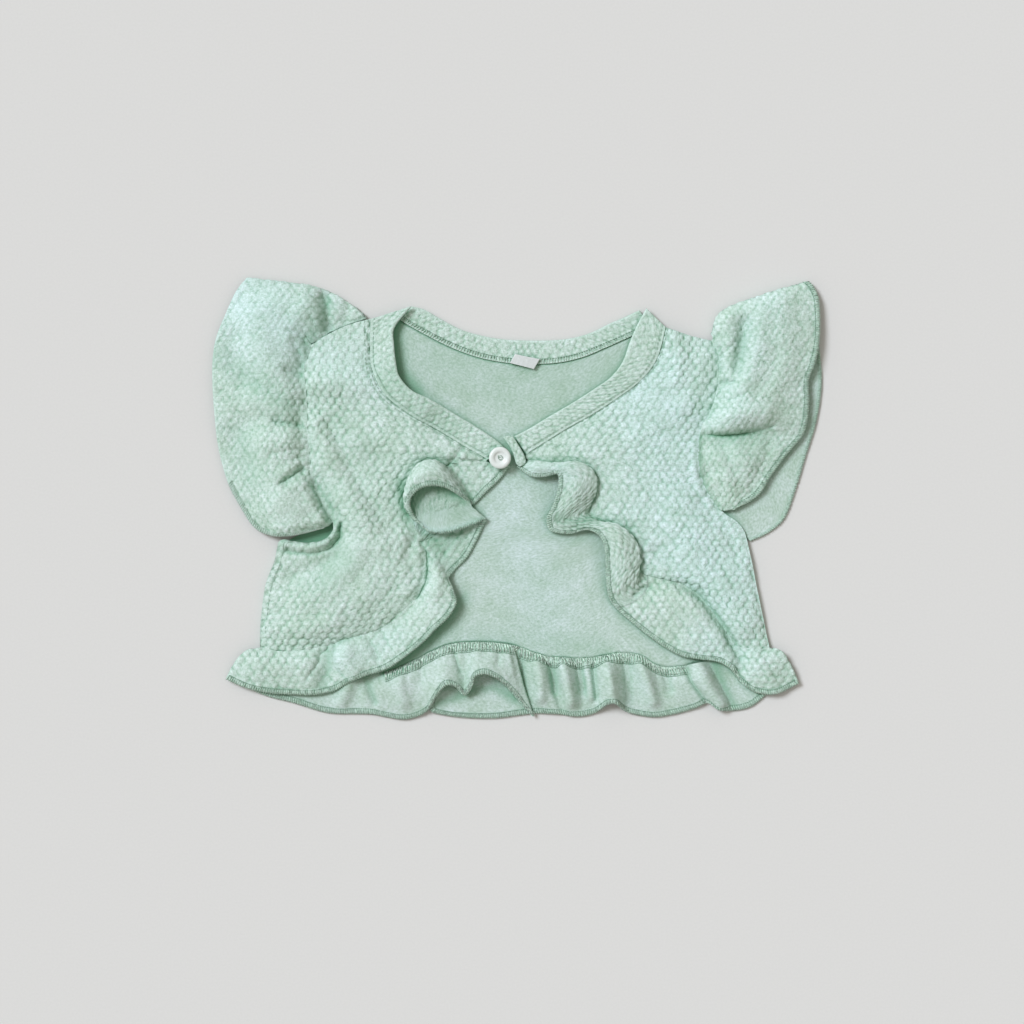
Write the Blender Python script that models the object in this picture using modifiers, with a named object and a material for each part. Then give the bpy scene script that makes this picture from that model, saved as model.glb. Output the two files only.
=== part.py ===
"""A baby's short-sleeved shrug of mint-green bubble knit, laid flat on its back.

The garment lies on z = 0 with its neck towards +Y. Tables are in millimetres and the model in metres.
"Left" and "right" are as seen from above, and X runs from the wearer's right to left. Every cloth piece
is an open sheet lofted through a table of sections, then given its wall by a Solidify modifier:

- a panel's row runs from its outer edge (armhole, side) to its inner edge (neck, front),
- a strip's row runs from its seam, over two points on the way, to its free edge.
"""
from collections import namedtuple

import bmesh
import bpy
import numpy as np
from mathutils import Vector

MM = 0.001

# Driving sizes, in millimetres.
WALL = 1.2                 # one layer of the knit, uncompressed
BAND_WALL = 1.8            # neck bands are folded double
SEAM_GAP = 1.0             # between the middle lines of two walls that meet at a seam
REAR_GAP = 1.6             # the same at the back armholes, which are hidden
TABLE_LAYER = WALL / 2     # height of the middle of a layer that lies on the table
GRID_STEP = 5.0            # length of a quad along a strip
PANEL_STEP = 8.0           # length of a quad on a panel
FOLD_RISE = 1.5            # a soft fold is full where the cloth is this far above the layer below
BUTTON_RADIUS = 5.5
BUTTON_HEIGHT = 2.6
BUTTON_PLACE = (-8.75, 20.75)
BUTTON_REST = 5.4          # height of the button's back
HOLE_RADIUS = 0.8
HOLE_OFFSET = 1.5
LABEL_WALL = 1.0
LOOP_WALL = 1.4
CENTRE = Vector((-0.223, 0.499, 0.0))     # the middle of the garment's box in table coordinates

# How finely the sheets are cut, in quads across each.
BACK_COLUMNS, BACK_ROWS = 26, 20
PANEL_COLUMNS = 11
SLEEVE_COLUMNS = 7
RUFFLE_COLUMNS = 6
BACK_RUFFLE_COLUMNS = 5
BAND_COLUMNS = 2
ROW_POINTS = 7             # points that a panel's row is bent through
EDGE_READINGS = 400        # points that a curved edge is read at
PATH_READINGS = 1500       # places where a seam line is tried for the nearest point
LEAST_STEP = 0.002         # least share of a seam line between two sections
BUTTON_STEPS = 28
HOLE_STEPS = 12

# ---------------------------------------------------------------------------------------------- tables

PanelRow = namedtuple("PanelRow", "outer inner bend crown")      # bend in y and crown in z at mid row
Section = namedtuple("Section", "seam rise crest edge")
BandRow = namedtuple("BandRow", "seam edge")
Fold = namedtuple("Fold", "start end width height")              # a soft ridge, or a trough below zero

FRONT_LEFT = [
    PanelRow((-103.5, 77.0, 2.4), (-73.2, 90.2, 3.0), 2.2, 0.3),     # shoulder seam
    PanelRow((-106.0, 68.0, 3.0), (-73.3, 78.0, 3.2), 0.0, 1.0),
    PanelRow((-106.0, 56.0, 3.2), (-72.4, 65.5, 3.4), 0.0, 1.6),
    PanelRow((-105.2, 44.0, 3.2), (-66.5, 53.4, 3.6), 0.0, 2.0),
    PanelRow((-104.8, 33.0, 3.2), (-54.0, 43.3, 3.6), 1.0, 2.2),
    PanelRow((-104.3, 23.0, 3.2), (-40.0, 35.2, 3.4), 3.0, 2.4),
    PanelRow((-103.2, 13.0, 3.2), (-26.0, 26.6, 3.2), 6.0, 2.4),
    PanelRow((-100.5, 4.0, 3.2), (-15.2, 19.8, 3.0), 9.0, 2.4),      # foot of the neck seam
    PanelRow((-97.2, -3.0, 3.2), (-24.0, 19.6, 3.0), 9.0, 2.4),
    PanelRow((-94.4, -8.6, 3.2), (-33.5, 17.4, 3.0), 7.5, 2.4),
    PanelRow((-91.8, -12.8, 3.2), (-43.0, 12.6, 3.0), 5.0, 2.4),     # end of the sleeve's seam
    PanelRow((-92.7, -17.2, 3.2), (-50.5, 5.5, 3.0), 3.0, 2.0),
    PanelRow((-97.0, -20.9, 3.2), (-53.4, -2.5, 3.0), 1.0, 2.0),     # underarm
    PanelRow((-103.6, -22.4, 3.0), (-53.0, -9.5, 3.0), -1.0, 2.0),
    PanelRow((-110.6, -21.9, 2.8), (-50.4, -15.6, 3.0), -3.0, 2.2),
    PanelRow((-118.2, -20.8, 2.5), (-47.6, -21.5, 3.0), -5.0, 2.6),
    PanelRow((-121.5, -31.0, 2.3), (-46.4, -28.5, 3.0), -5.0, 3.0),  # side seam
    PanelRow((-125.4, -41.0, 2.2), (-46.8, -38.0, 3.0), -4.0, 3.2),
    PanelRow((-127.2, -51.0, 2.2), (-50.5, -48.6, 3.0), -3.0, 3.2),
    PanelRow((-128.0, -59.0, 2.2), (-57.5, -56.6, 3.0), -3.0, 3.0),
    PanelRow((-128.4, -65.5, 2.2), (-67.0, -64.0, 3.0), -2.0, 2.2),
    PanelRow((-128.6, -70.5, 2.2), (-82.0, -69.0, 3.0), -1.5, 1.2),
    PanelRow((-128.7, -74.2, 2.4), (-99.0, -73.6, 2.8), -2.4, 0.4),  # hem seam
]
LEFT_NECK_ROWS = (0, 7)         # rows whose inner ends are on the neck seam
LEFT_ARMHOLE_ROWS = (0, 10)     # rows whose outer ends are on the sleeve's seam

FRONT_LEFT_FOLDS = [
    Fold((-100, 33), (-74, -22), 11, 1.4),
    Fold((-95, 11), (-80, -18), 6, -1.2),
    Fold((-94, -30), (-100, -42), 6, -0.8),
]

FRONT_RIGHT = [
    PanelRow((97.5, 79.3, 2.6), (74.0, 86.2, 2.8), -0.7, 0.2),       # shoulder seam
    PanelRow((100.6, 73.0, 3.0), (72.3, 79.0, 3.0), 0.0, 0.8),
    PanelRow((101.0, 63.0, 3.2), (69.0, 69.5, 3.0), 0.0, 1.4),
    PanelRow((99.6, 53.0, 3.2), (61.5, 59.8, 3.0), 0.0, 1.6),
    PanelRow((96.6, 43.5, 3.2), (50.0, 51.0, 3.0), 0.0, 1.8),
    PanelRow((92.0, 35.5, 3.2), (38.0, 43.2, 3.0), 1.0, 2.0),
    PanelRow((90.6, 27.0, 3.2), (26.0, 36.4, 3.0), 2.0, 2.2),
    PanelRow((90.4, 18.5, 3.2), (14.0, 29.0, 3.0), 3.0, 2.4),
    PanelRow((92.0, 11.0, 3.2), (4.2, 21.6, 3.0), 5.0, 2.4),         # foot of the neck seam
    PanelRow((94.8, 4.4, 3.2), (14.0, 17.6, 3.0), 6.0, 2.4),
    PanelRow((98.0, -0.8, 3.2), (24.0, 15.2, 3.0), 5.5, 2.4),
    PanelRow((101.6, -5.4, 3.2), (31.0, 9.0, 3.0), 4.0, 2.4),        # end of the sleeve's seam
    PanelRow((105.6, -8.8, 3.0), (33.6, 1.0, 3.0), 3.0, 2.4),
    PanelRow((109.6, -11.4, 2.8), (35.4, -6.5, 3.0), 1.0, 2.4),      # underarm
    PanelRow((113.2, -16.0, 2.6), (43.0, -12.0, 3.0), -1.0, 2.6),
    PanelRow((115.0, -22.5, 2.4), (49.6, -18.0, 3.0), -1.0, 2.8),
    PanelRow((116.8, -31.0, 2.2), (53.6, -26.0, 3.0), -1.5, 2.8),    # side seam
    PanelRow((118.2, -38.0, 2.2), (56.4, -32.4, 3.0), -1.0, 2.8),
    PanelRow((119.6, -45.0, 2.2), (62.5, -37.4, 3.0), 1.5, 2.6),
    PanelRow((121.0, -52.0, 2.2), (71.0, -39.2, 3.0), 2.0, 2.4),
    PanelRow((122.2, -58.0, 2.2), (79.5, -41.4, 3.0), 2.5, 2.2),
    PanelRow((123.4, -63.4, 2.2), (88.0, -46.0, 3.0), 2.0, 1.8),
    PanelRow((124.4, -68.0, 2.2), (95.2, -53.4, 3.0), 1.0, 1.4),
    PanelRow((125.2, -71.4, 2.2), (101.6, -62.6, 3.0), 0.0, 1.0),
    PanelRow((125.9, -74.4, 2.4), (108.6, -72.6, 2.8), -1.2, 0.3),   # hem seam
]
RIGHT_NECK_ROWS = (0, 8)
RIGHT_ARMHOLE_ROWS = (0, 11)

FRONT_RIGHT_FOLDS = [
    Fold((92, -48), (107, -74), 6, -0.7),
    Fold((112, -28), (120, -62), 7, 0.6),
]

# The back is a patch between four edges, on the table.
BACK_TOP = [(-97, 80), (-80, 86), (-61, 90.5), (-55, 87.4), (-47, 83), (-33, 76), (-19, 71), (-5, 68.4),
            (8, 67.8), (21, 68.6), (33, 71.4), (45, 76.4), (54, 80.4), (62, 84), (68, 86), (82, 82),
            (97, 77)]
BACK_BOTTOM = [(-128.5, -74), (-115, -78.5), (-100, -82), (-85, -85.5), (-72, -87), (-63, -85.6),
               (-53, -81.2), (-43.8, -76.6), (-32.8, -72.4), (-22, -71.6), (-7.8, -72.2), (0, -73.5),
               (7.8, -76.6), (15, -78.6), (30.8, -79.6), (46, -78), (51, -76.8), (61, -78), (69, -82.6),
               (78, -84), (91, -81.6), (105, -79.4), (118, -77), (126, -74)]
BACK_LEFT = [(-97, 80), (-101, 70), (-100.4, 50), (-98, 30), (-96, 12), (-95.4, -4), (-101, -13.5),
             (-111, -18.5), (-118, -23), (-123.4, -36), (-127, -50), (-128.3, -62), (-128.5, -74)]
BACK_RIGHT = [(97, 77), (99.6, 66), (98, 50), (93, 35), (90.4, 20), (92.6, 6), (99.6, -5), (107.6, -11),
              (112.6, -18), (115.4, -28), (118, -39), (121, -53), (124, -66), (126, -74)]
BACK_ARMHOLE_SHARE = 0.50       # how far down a side edge the armhole reaches, as a share of its length

SLEEVE_LEFT_SHOULDER = [(-104.0, 78.2, 2.7), (-100.0, 79.9, 2.6), (-90.0, 85.7, 1.9), (-81.0, 89.1, 1.6),
                        (-75.5, 90.9, 1.3)]
SLEEVE_LEFT_BACK = [(-78.0, 89.6, 0.6), (-88.0, 85.4, 0.6), (-99.0, 81.4, 0.6)]

SLEEVE_LEFT = [
    Section((-92.6, -11.6, 3.2), (-94.0, -12.8, 3.4), (-95.6, -13.2, 3.2), (-97.4, -13.8, 3.0)),
    Section((-94.8, -8.0, 3.2), (-99.0, -9.6, 5.0), (-102.4, -12.4, 4.8), (-106.0, -16.4, 3.4)),
    Section((-97.6, -2.4, 3.2), (-104.0, -3.6, 7.5), (-110.5, -9.5, 7.5), (-115.0, -18.0, 3.4)),
    Section((-100.6, 4.0, 3.2), (-109.0, 2.5, 9.0), (-119.0, -5.0, 9.0), (-123.6, -17.8, 3.2)),
    Section((-102.8, 10.6, 3.2), (-112.0, 9.0, 9.4), (-125.0, 1.0, 9.0), (-131.4, -14.0, 3.0)),
    Section((-103.8, 17.0, 3.2), (-114.0, 17.5, 9.0), (-129.0, 12.0, 8.5), (-139.4, -2.0, 3.0)),
    Section((-104.4, 24.5, 3.2), (-115.0, 26.0, 9.0), (-131.0, 24.0, 8.0), (-145.2, 9.5, 3.0)),
    Section((-104.8, 34.0, 3.2), (-116.0, 36.0, 8.5), (-132.0, 36.0, 7.5), (-149.6, 26.0, 3.0)),
    Section((-105.2, 44.0, 3.2), (-117.0, 47.0, 9.0), (-133.0, 48.0, 7.5), (-151.4, 42.0, 3.0)),
    Section((-105.9, 54.0, 3.2), (-118.0, 58.0, 8.5), (-134.0, 60.0, 7.5), (-152.4, 57.0, 3.0)),
    Section((-106.1, 64.0, 3.2), (-118.0, 69.0, 8.0), (-134.4, 71.0, 7.5), (-152.4, 70.0, 3.0)),
    Section((-105.2, 71.0, 3.0), (-116.0, 78.5, 7.5), (-133.0, 82.0, 8.0), (-150.6, 81.0, 3.0)),
    Section((-103.6, 76.6, 2.8), (-112.6, 88.0, 8.0), (-129.0, 93.0, 8.5), (-146.4, 91.6, 3.0)),
    Section((-100.0, 79.8, 2.6), (-106.0, 93.0, 8.5), (-120.0, 100.6, 8.0), (-141.8, 102.0, 3.0)),
    Section((-96.0, 82.4, 2.3), (-99.6, 95.0, 7.0), (-112.0, 103.6, 6.5), (-138.4, 107.4, 2.8)),
    Section((-90.0, 85.8, 1.9), (-90.0, 93.0, 3.0), (-104.0, 104.4, 4.4), (-136.6, 109.4, 2.6)),
    Section((-81.0, 89.1, 1.6), (-83.0, 94.6, 2.0), (-99.0, 104.8, 2.8), (-136.0, 110.2, 2.2)),
    Section((-75.5, 90.9, 1.3), (-81.5, 96.0, 1.4), (-99.0, 105.4, 1.5), (-135.9, 110.6, 1.4)),   # fold
    Section((-78.0, 89.6, 0.6), (-85.0, 93.6, 0.6), (-101.5, 102.6, 0.6), (-136.6, 107.6, 0.6)),  # back layer
    Section((-88.0, 85.4, 0.6), (-98.0, 92.6, 0.6), (-116.0, 97.0, 0.6), (-140.0, 99.0, 0.6)),
    Section((-99.0, 81.4, 0.6), (-110.0, 84.6, 0.6), (-127.0, 87.0, 0.6), (-145.0, 87.0, 0.6)),
    Section((-102.0, 62.0, 0.6), (-116.0, 66.0, 0.6), (-132.0, 68.0, 0.6), (-148.6, 66.0, 0.6)),
    Section((-101.2, 44.0, 0.6), (-115.0, 45.0, 0.6), (-131.0, 45.0, 0.6), (-147.8, 44.0, 0.6)),
    Section((-99.0, 26.0, 0.6), (-113.0, 26.0, 0.6), (-129.0, 25.6, 0.6), (-144.4, 25.0, 0.6)),
    Section((-97.4, 10.0, 0.6), (-110.0, 8.6, 0.6), (-124.0, 6.6, 0.6), (-137.4, 4.0, 0.6)),
    Section((-97.0, -4.0, 0.6), (-106.0, -6.0, 0.6), (-117.0, -9.0, 0.6), (-126.6, -12.0, 0.6)),
    Section((-102.0, -12.6, 0.6), (-106.0, -12.6, 0.6), (-111.0, -13.6, 0.6), (-117.0, -15.4, 0.6)),
]
SLEEVE_LEFT_FOLDS = [
    Fold((-142, 80), (-137, 60), 6, -2.2),
    Fold((-138, 38), (-134, 18), 8, -1.6),
    Fold((-116, 9), (-108, 15), 2.6, -2.6),
    Fold((-119, 38), (-110, 37), 3.2, -1.6),
    Fold((-114, 64), (-109, 62), 3.0, -1.4),
]

SLEEVE_RIGHT_SHOULDER = [(98.6, 80.0, 3.0), (97.9, 81.8, 2.6), (97.4, 82.8, 1.5)]
SLEEVE_RIGHT_BACK = [(98.6, 81.2, 0.6), (100.0, 77.0, 0.6)]

SLEEVE_RIGHT = [
    Section((101.4, -5.4, 3.2), (103.4, -5.6, 3.4), (105.6, -5.2, 3.4), (108.4, -4.4, 3.0)),
    Section((98.6, -1.6, 3.2), (103.0, 0.6, 4.0), (109.0, 1.0, 4.0), (115.0, -1.4, 3.2)),
    Section((95.0, 4.4, 3.2), (101.0, 8.4, 5.0), (110.0, 8.6, 6.0), (121.0, 3.0, 3.4)),
    Section((92.0, 11.0, 3.2), (99.0, 16.4, 5.0), (112.0, 16.6, 7.0), (127.0, 12.4, 3.6)),
    Section((90.6, 18.5, 3.2), (98.0, 23.6, 5.0), (115.0, 24.2, 7.2), (133.4, 21.2, 3.8)),
    Section((90.5, 26.0, 3.2), (99.0, 28.6, 4.6), (118.0, 29.4, 6.4), (138.6, 27.4, 3.8)),
    Section((91.4, 32.0, 3.2), (100.0, 31.6, 5.0), (119.5, 32.8, 6.0), (142.0, 31.4, 3.8)),
    Section((94.0, 38.6, 3.2), (102.0, 35.4, 9.8), (121.0, 38.4, 9.6), (144.4, 38.4, 4.4)),
    Section((97.0, 45.0, 3.2), (106.0, 45.0, 11.0), (123.0, 49.0, 10.6), (145.4, 48.0, 4.8)),
    Section((99.4, 53.0, 3.2), (109.0, 56.0, 10.5), (126.0, 60.0, 9.6), (145.4, 60.0, 5.0)),
    Section((100.8, 62.0, 3.2), (108.0, 66.0, 9.0), (128.0, 70.0, 8.6), (148.6, 68.6, 5.0)),
    Section((100.9, 70.0, 3.0), (107.0, 76.0, 8.0), (129.0, 81.0, 8.0), (150.6, 79.0, 4.6)),
    Section((100.0, 75.6, 2.8), (105.0, 84.0, 8.0), (128.0, 92.0, 7.6), (151.0, 91.0, 4.0)),
    Section((98.6, 80.0, 3.0), (102.6, 89.6, 7.0), (127.0, 99.4, 6.0), (150.2, 101.6, 3.2)),
    Section((97.9, 81.8, 2.6), (101.4, 91.6, 4.4), (124.0, 101.6, 4.0), (147.4, 107.4, 2.4)),
    Section((97.4, 82.8, 1.5), (101.0, 92.6, 1.6), (123.0, 102.2, 1.5), (145.4, 109.0, 1.4)),     # fold
    Section((98.6, 81.2, 0.6), (104.0, 89.5, 0.6), (124.0, 99.2, 0.6), (146.6, 105.4, 0.6)),      # back layer
    Section((100.9, 70.0, 0.6), (111.0, 77.0, 0.6), (128.0, 86.0, 0.6), (149.2, 90.0, 0.6)),
    Section((99.8, 57.0, 0.6), (113.0, 64.0, 0.6), (132.0, 71.0, 0.6), (151.4, 73.0, 0.6)),
    Section((96.0, 42.5, 0.6), (111.0, 47.0, 0.6), (132.0, 54.0, 0.6), (152.2, 57.0, 0.6)),
    Section((92.6, 31.0, 0.6), (108.0, 32.6, 0.6), (130.0, 37.0, 0.6), (149.6, 39.0, 0.6)),
    Section((91.2, 18.0, 0.6), (106.0, 18.0, 0.6), (126.0, 20.0, 0.6), (144.2, 21.6, 0.6)),
    Section((93.6, 6.0, 0.6), (107.0, 5.0, 0.6), (124.0, 5.0, 0.6), (139.2, 5.0, 0.6)),
    Section((100.6, -4.2, 0.6), (111.0, -5.0, 0.6), (123.0, -7.0, 0.6), (133.2, -10.0, 0.6)),
    Section((108.4, -10.6, 0.6), (113.4, -11.6, 0.6), (119.0, -13.6, 0.6), (125.2, -16.8, 0.6)),
    Section((112.8, -16.6, 0.6), (113.6, -18.0, 0.6), (115.0, -19.4, 0.6), (116.6, -20.8, 0.6)),
]
SLEEVE_RIGHT_FOLDS = [
    Fold((113, 88), (110, 64), 3.6, -3.0),
    Fold((102, 58), (108, 58), 2.4, -1.4),
    Fold((100, 22), (112, 4), 4.0, 0.8),
]

RUFFLE_LEFT = [
    Section((-16.5, 19.2, 3.0), (-12.0, 17.8, 2.8), (-8.0, 17.2, 2.6), (-4.2, 16.8, 2.4)),
    Section((-20.0, 19.4, 3.0), (-15.5, 16.0, 2.8), (-11.5, 13.6, 2.6), (-7.6, 11.6, 2.3)),
    Section((-26.0, 19.4, 3.0), (-22.5, 13.5, 2.8), (-19.0, 9.0, 2.6), (-15.0, 4.4, 2.3)),
    Section((-31.5, 18.2, 3.0), (-29.5, 10.5, 3.0), (-26.0, 4.0, 2.6), (-22.4, -2.6, 2.3)),
    Section((-36.5, 16.2, 4.2), (-35.6, 15.8, 6.6), (-31.0, 9.0, 7.5), (-26.6, 0.6, 6.6)),      # flute's roof
    Section((-42.0, 13.2, 4.8), (-42.0, 19.4, 8.0), (-38.5, 14.5, 13.0), (-35.6, 5.8, 11.5)),
    Section((-47.0, 9.4, 4.8), (-49.0, 17.6, 8.0), (-46.0, 13.4, 14.5), (-43.2, 6.8, 13.0)),
    Section((-50.6, 4.8, 4.8), (-54.4, 10.5, 8.0), (-51.8, 9.0, 13.5), (-49.4, 4.8, 12.5)),
    Section((-53.0, -1.0, 4.8), (-56.2, 1.0, 7.5), (-55.4, 1.2, 11.0), (-53.4, -0.6, 10.0)),
    Section((-53.2, -6.6, 4.8), (-55.0, -5.8, 5.8), (-54.4, -5.8, 7.6), (-52.4, -6.4, 7.0)),
    Section((-52.2, -11.0, 3.0), (-51.6, -9.8, 4.0), (-50.2, -10.4, 4.8), (-48.6, -11.8, 5.0)),
    Section((-51.2, -13.4, 3.0), (-48.6, -7.0, 3.2), (-46.6, -10.0, 3.6), (-44.6, -15.8, 4.6)),  # its floor
    Section((-50.4, -14.8, 3.0), (-43.6, -3.4, 3.1), (-40.6, -8.6, 3.4), (-37.6, -16.8, 4.4)),
    Section((-49.6, -16.2, 3.0), (-38.4, -2.4, 3.2), (-34.2, -7.4, 3.6), (-29.8, -15.4, 4.4)),
    Section((-48.9, -17.6, 3.0), (-33.0, -3.2, 3.8), (-27.6, -6.6, 4.2), (-22.6, -12.6, 4.4)),
    Section((-48.2, -19.4, 3.0), (-28.4, -5.6, 4.4), (-22.0, -7.6, 4.6), (-16.0, -10.0, 4.2)),   # flute's tip
    Section((-47.5, -21.4, 2.6), (-35.0, -14.4, 2.4), (-25.5, -12.6, 2.3), (-17.0, -12.6, 2.4)),
    Section((-46.9, -24.0, 2.8), (-37.0, -20.0, 2.3), (-28.0, -19.0, 2.2), (-20.0, -19.6, 2.2)),
    Section((-46.5, -26.6, 3.0), (-38.6, -25.6, 2.6), (-31.8, -26.4, 2.2), (-25.0, -28.6, 2.2)),
    Section((-46.4, -29.0, 3.0), (-40.8, -30.6, 3.4), (-36.4, -33.0, 2.8), (-32.0, -36.0, 2.3)),
    Section((-46.4, -32.0, 3.0), (-42.0, -32.4, 5.8), (-38.4, -35.6, 6.4), (-34.6, -39.4, 5.2)),  # 2nd wave
    Section((-46.7, -37.0, 3.0), (-41.6, -38.8, 6.4), (-36.6, -42.6, 7.2), (-31.8, -46.0, 6.4)),
    Section((-48.2, -43.0, 3.0), (-43.0, -45.4, 6.2), (-37.0, -49.2, 7.2), (-30.5, -51.4, 6.6)),
    Section((-51.0, -49.0, 3.0), (-46.2, -51.4, 5.6), (-40.4, -55.6, 6.6), (-34.0, -58.0, 6.4)),
    Section((-55.4, -54.4, 3.0), (-50.8, -57.4, 5.2), (-45.8, -61.8, 6.2), (-40.6, -64.4, 6.2)),
    Section((-61.2, -60.0, 3.0), (-56.8, -63.9, 5.0), (-51.8, -68.2, 6.0), (-47.0, -71.0, 6.2)),
    Section((-67.4, -64.2, 3.0), (-63.2, -69.2, 5.2), (-59.2, -74.2, 6.0), (-55.0, -77.6, 6.0)),
    Section((-74.4, -67.0, 3.0), (-71.7, -72.7, 4.6), (-68.6, -78.6, 5.2), (-65.2, -84.6, 5.2)),
    Section((-82.4, -69.4, 3.0), (-80.6, -75.2, 5.8), (-78.0, -81.5, 5.8), (-75.4, -87.8, 4.8)),
    Section((-90.4, -71.6, 3.0), (-89.0, -77.2, 5.6), (-86.6, -84.0, 5.2), (-83.4, -91.0, 3.8)),
    Section((-97.0, -73.4, 2.8), (-97.0, -79.2, 3.2), (-94.8, -87.0, 3.0), (-92.0, -95.8, 2.6)),  # trough
    Section((-103.0, -75.0, 2.8), (-105.0, -80.7, 6.0), (-104.5, -88.6, 5.4), (-102.0, -97.6, 3.0)),
    Section((-110.0, -76.2, 2.8), (-113.0, -81.7, 5.6), (-114.0, -89.0, 5.0), (-113.4, -97.4, 2.8)),
    Section((-117.0, -76.4, 2.6), (-120.6, -81.7, 5.4), (-122.6, -88.0, 5.0), (-124.4, -96.6, 2.8)),
    Section((-123.4, -75.8, 2.6), (-128.4, -79.7, 5.0), (-132.0, -85.6, 4.6), (-135.6, -94.2, 2.7)),
    Section((-128.4, -74.8, 2.6), (-135.6, -75.4, 3.4), (-141.0, -80.8, 3.0), (-146.0, -89.8, 2.6)),
]

RUFFLE_RIGHT = [
    Section((5.6, 20.0, 3.0), (3.4, 18.4, 3.0), (1.6, 17.4, 2.9), (-0.4, 16.4, 2.6)),
    Section((9.0, 18.8, 4.2), (8.0, 18.9, 6.0), (7.6, 16.3, 7.2), (6.8, 11.8, 4.5)),
    Section((15.0, 17.4, 4.2), (14.8, 18.2, 6.6), (14.2, 15.8, 8.0), (13.2, 11.4, 5.4)),
    Section((20.4, 16.2, 4.2), (20.6, 18.0, 7.2), (19.6, 15.8, 8.8), (18.0, 12.6, 7.0)),
    Section((26.2, 14.2, 4.8), (29.6, 18.6, 8.0), (25.0, 16.2, 11.0), (20.2, 12.2, 8.6)),       # first lobe
    Section((30.2, 10.2, 4.8), (37.2, 14.4, 7.4), (29.6, 11.0, 11.2), (20.4, 7.6, 8.2)),
    Section((32.6, 4.4, 4.8), (39.4, 8.0, 6.8), (30.0, 4.6, 10.6), (19.4, 2.0, 7.0)),
    Section((33.8, -0.6, 4.8), (38.4, 2.0, 6.2), (28.0, -1.6, 9.0), (17.0, -4.4, 6.0)),
    Section((34.8, -4.2, 4.2), (36.2, -2.8, 5.6), (26.0, -5.8, 7.6), (14.6, -9.4, 5.2)),
    Section((37.0, -7.8, 3.9), (34.4, -8.2, 5.0), (25.0, -10.4, 5.6), (16.0, -15.2, 3.8)),      # lobe's turn
    Section((40.4, -10.4, 3.0), (37.6, -10.4, 5.4), (31.0, -11.6, 5.8), (25.0, -17.0, 3.4)),
    Section((44.2, -13.0, 4.2), (42.5, -11.6, 6.5), (38.5, -12.0, 7.2), (34.0, -15.0, 5.0)),
    Section((47.6, -16.2, 4.8), (49.8, -12.8, 8.0), (45.0, -14.0, 10.0), (40.3, -17.6, 7.4)),   # second lobe
    Section((50.4, -20.2, 4.8), (56.2, -17.6, 8.0), (50.0, -19.6, 11.0), (43.2, -22.7, 7.6)),
    Section((52.8, -25.2, 4.8), (60.2, -24.0, 7.2), (52.6, -26.2, 10.5), (44.0, -30.0, 7.0)),
    Section((54.8, -30.2, 4.8), (61.4, -31.0, 6.8), (53.2, -34.0, 9.5), (44.2, -38.0, 6.0)),
    Section((57.2, -34.4, 4.2), (60.2, -37.6, 6.2), (53.2, -41.0, 8.0), (44.8, -45.0, 4.6)),
    Section((60.4, -37.2, 3.0), (59.8, -43.4, 5.0), (53.8, -47.0, 5.4), (46.2, -50.2, 3.0)),
    Section((65.2, -39.0, 3.0), (64.5, -45.4, 4.6), (58.0, -51.5, 4.5), (49.7, -54.8, 2.6)),    # broad wave
    Section((71.6, -40.2, 3.0), (70.0, -47.2, 6.0), (64.0, -55.0, 5.5), (56.2, -60.6, 2.6)),
    Section((79.0, -42.4, 3.0), (76.0, -49.8, 7.0), (70.5, -58.7, 6.0), (63.8, -66.9, 2.8)),
    Section((86.5, -46.2, 3.0), (83.0, -53.3, 7.0), (78.0, -62.7, 6.0), (72.2, -73.0, 2.8)),
    Section((93.0, -52.0, 3.0), (90.0, -58.8, 6.5), (86.0, -68.2, 6.0), (81.5, -78.0, 3.0)),
    Section((98.6, -59.6, 3.0), (96.3, -65.4, 6.0), (94.0, -72.6, 5.5), (91.5, -79.9, 3.2)),
    Section((103.4, -67.2, 3.0), (102.6, -71.0, 5.2), (101.5, -75.8, 5.0), (100.0, -81.0, 3.6)),
    Section((108.0, -73.2, 2.8), (108.8, -76.4, 4.2), (108.4, -80.2, 4.8), (106.2, -84.6, 4.0)),
    Section((112.0, -74.6, 2.8), (112.8, -79.0, 3.8), (112.7, -84.5, 4.0), (111.0, -90.6, 3.2)),
    Section((116.2, -75.4, 2.8), (117.6, -80.6, 4.6), (118.4, -87.5, 5.0), (118.4, -96.0, 3.0)),
    Section((121.0, -75.4, 2.8), (123.8, -80.4, 5.0), (126.6, -87.6, 5.0), (128.6, -97.2, 2.8)),
    Section((125.6, -75.2, 2.7), (131.8, -75.6, 3.4), (136.8, -83.0, 3.2), (140.8, -92.0, 2.6)),
]

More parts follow.
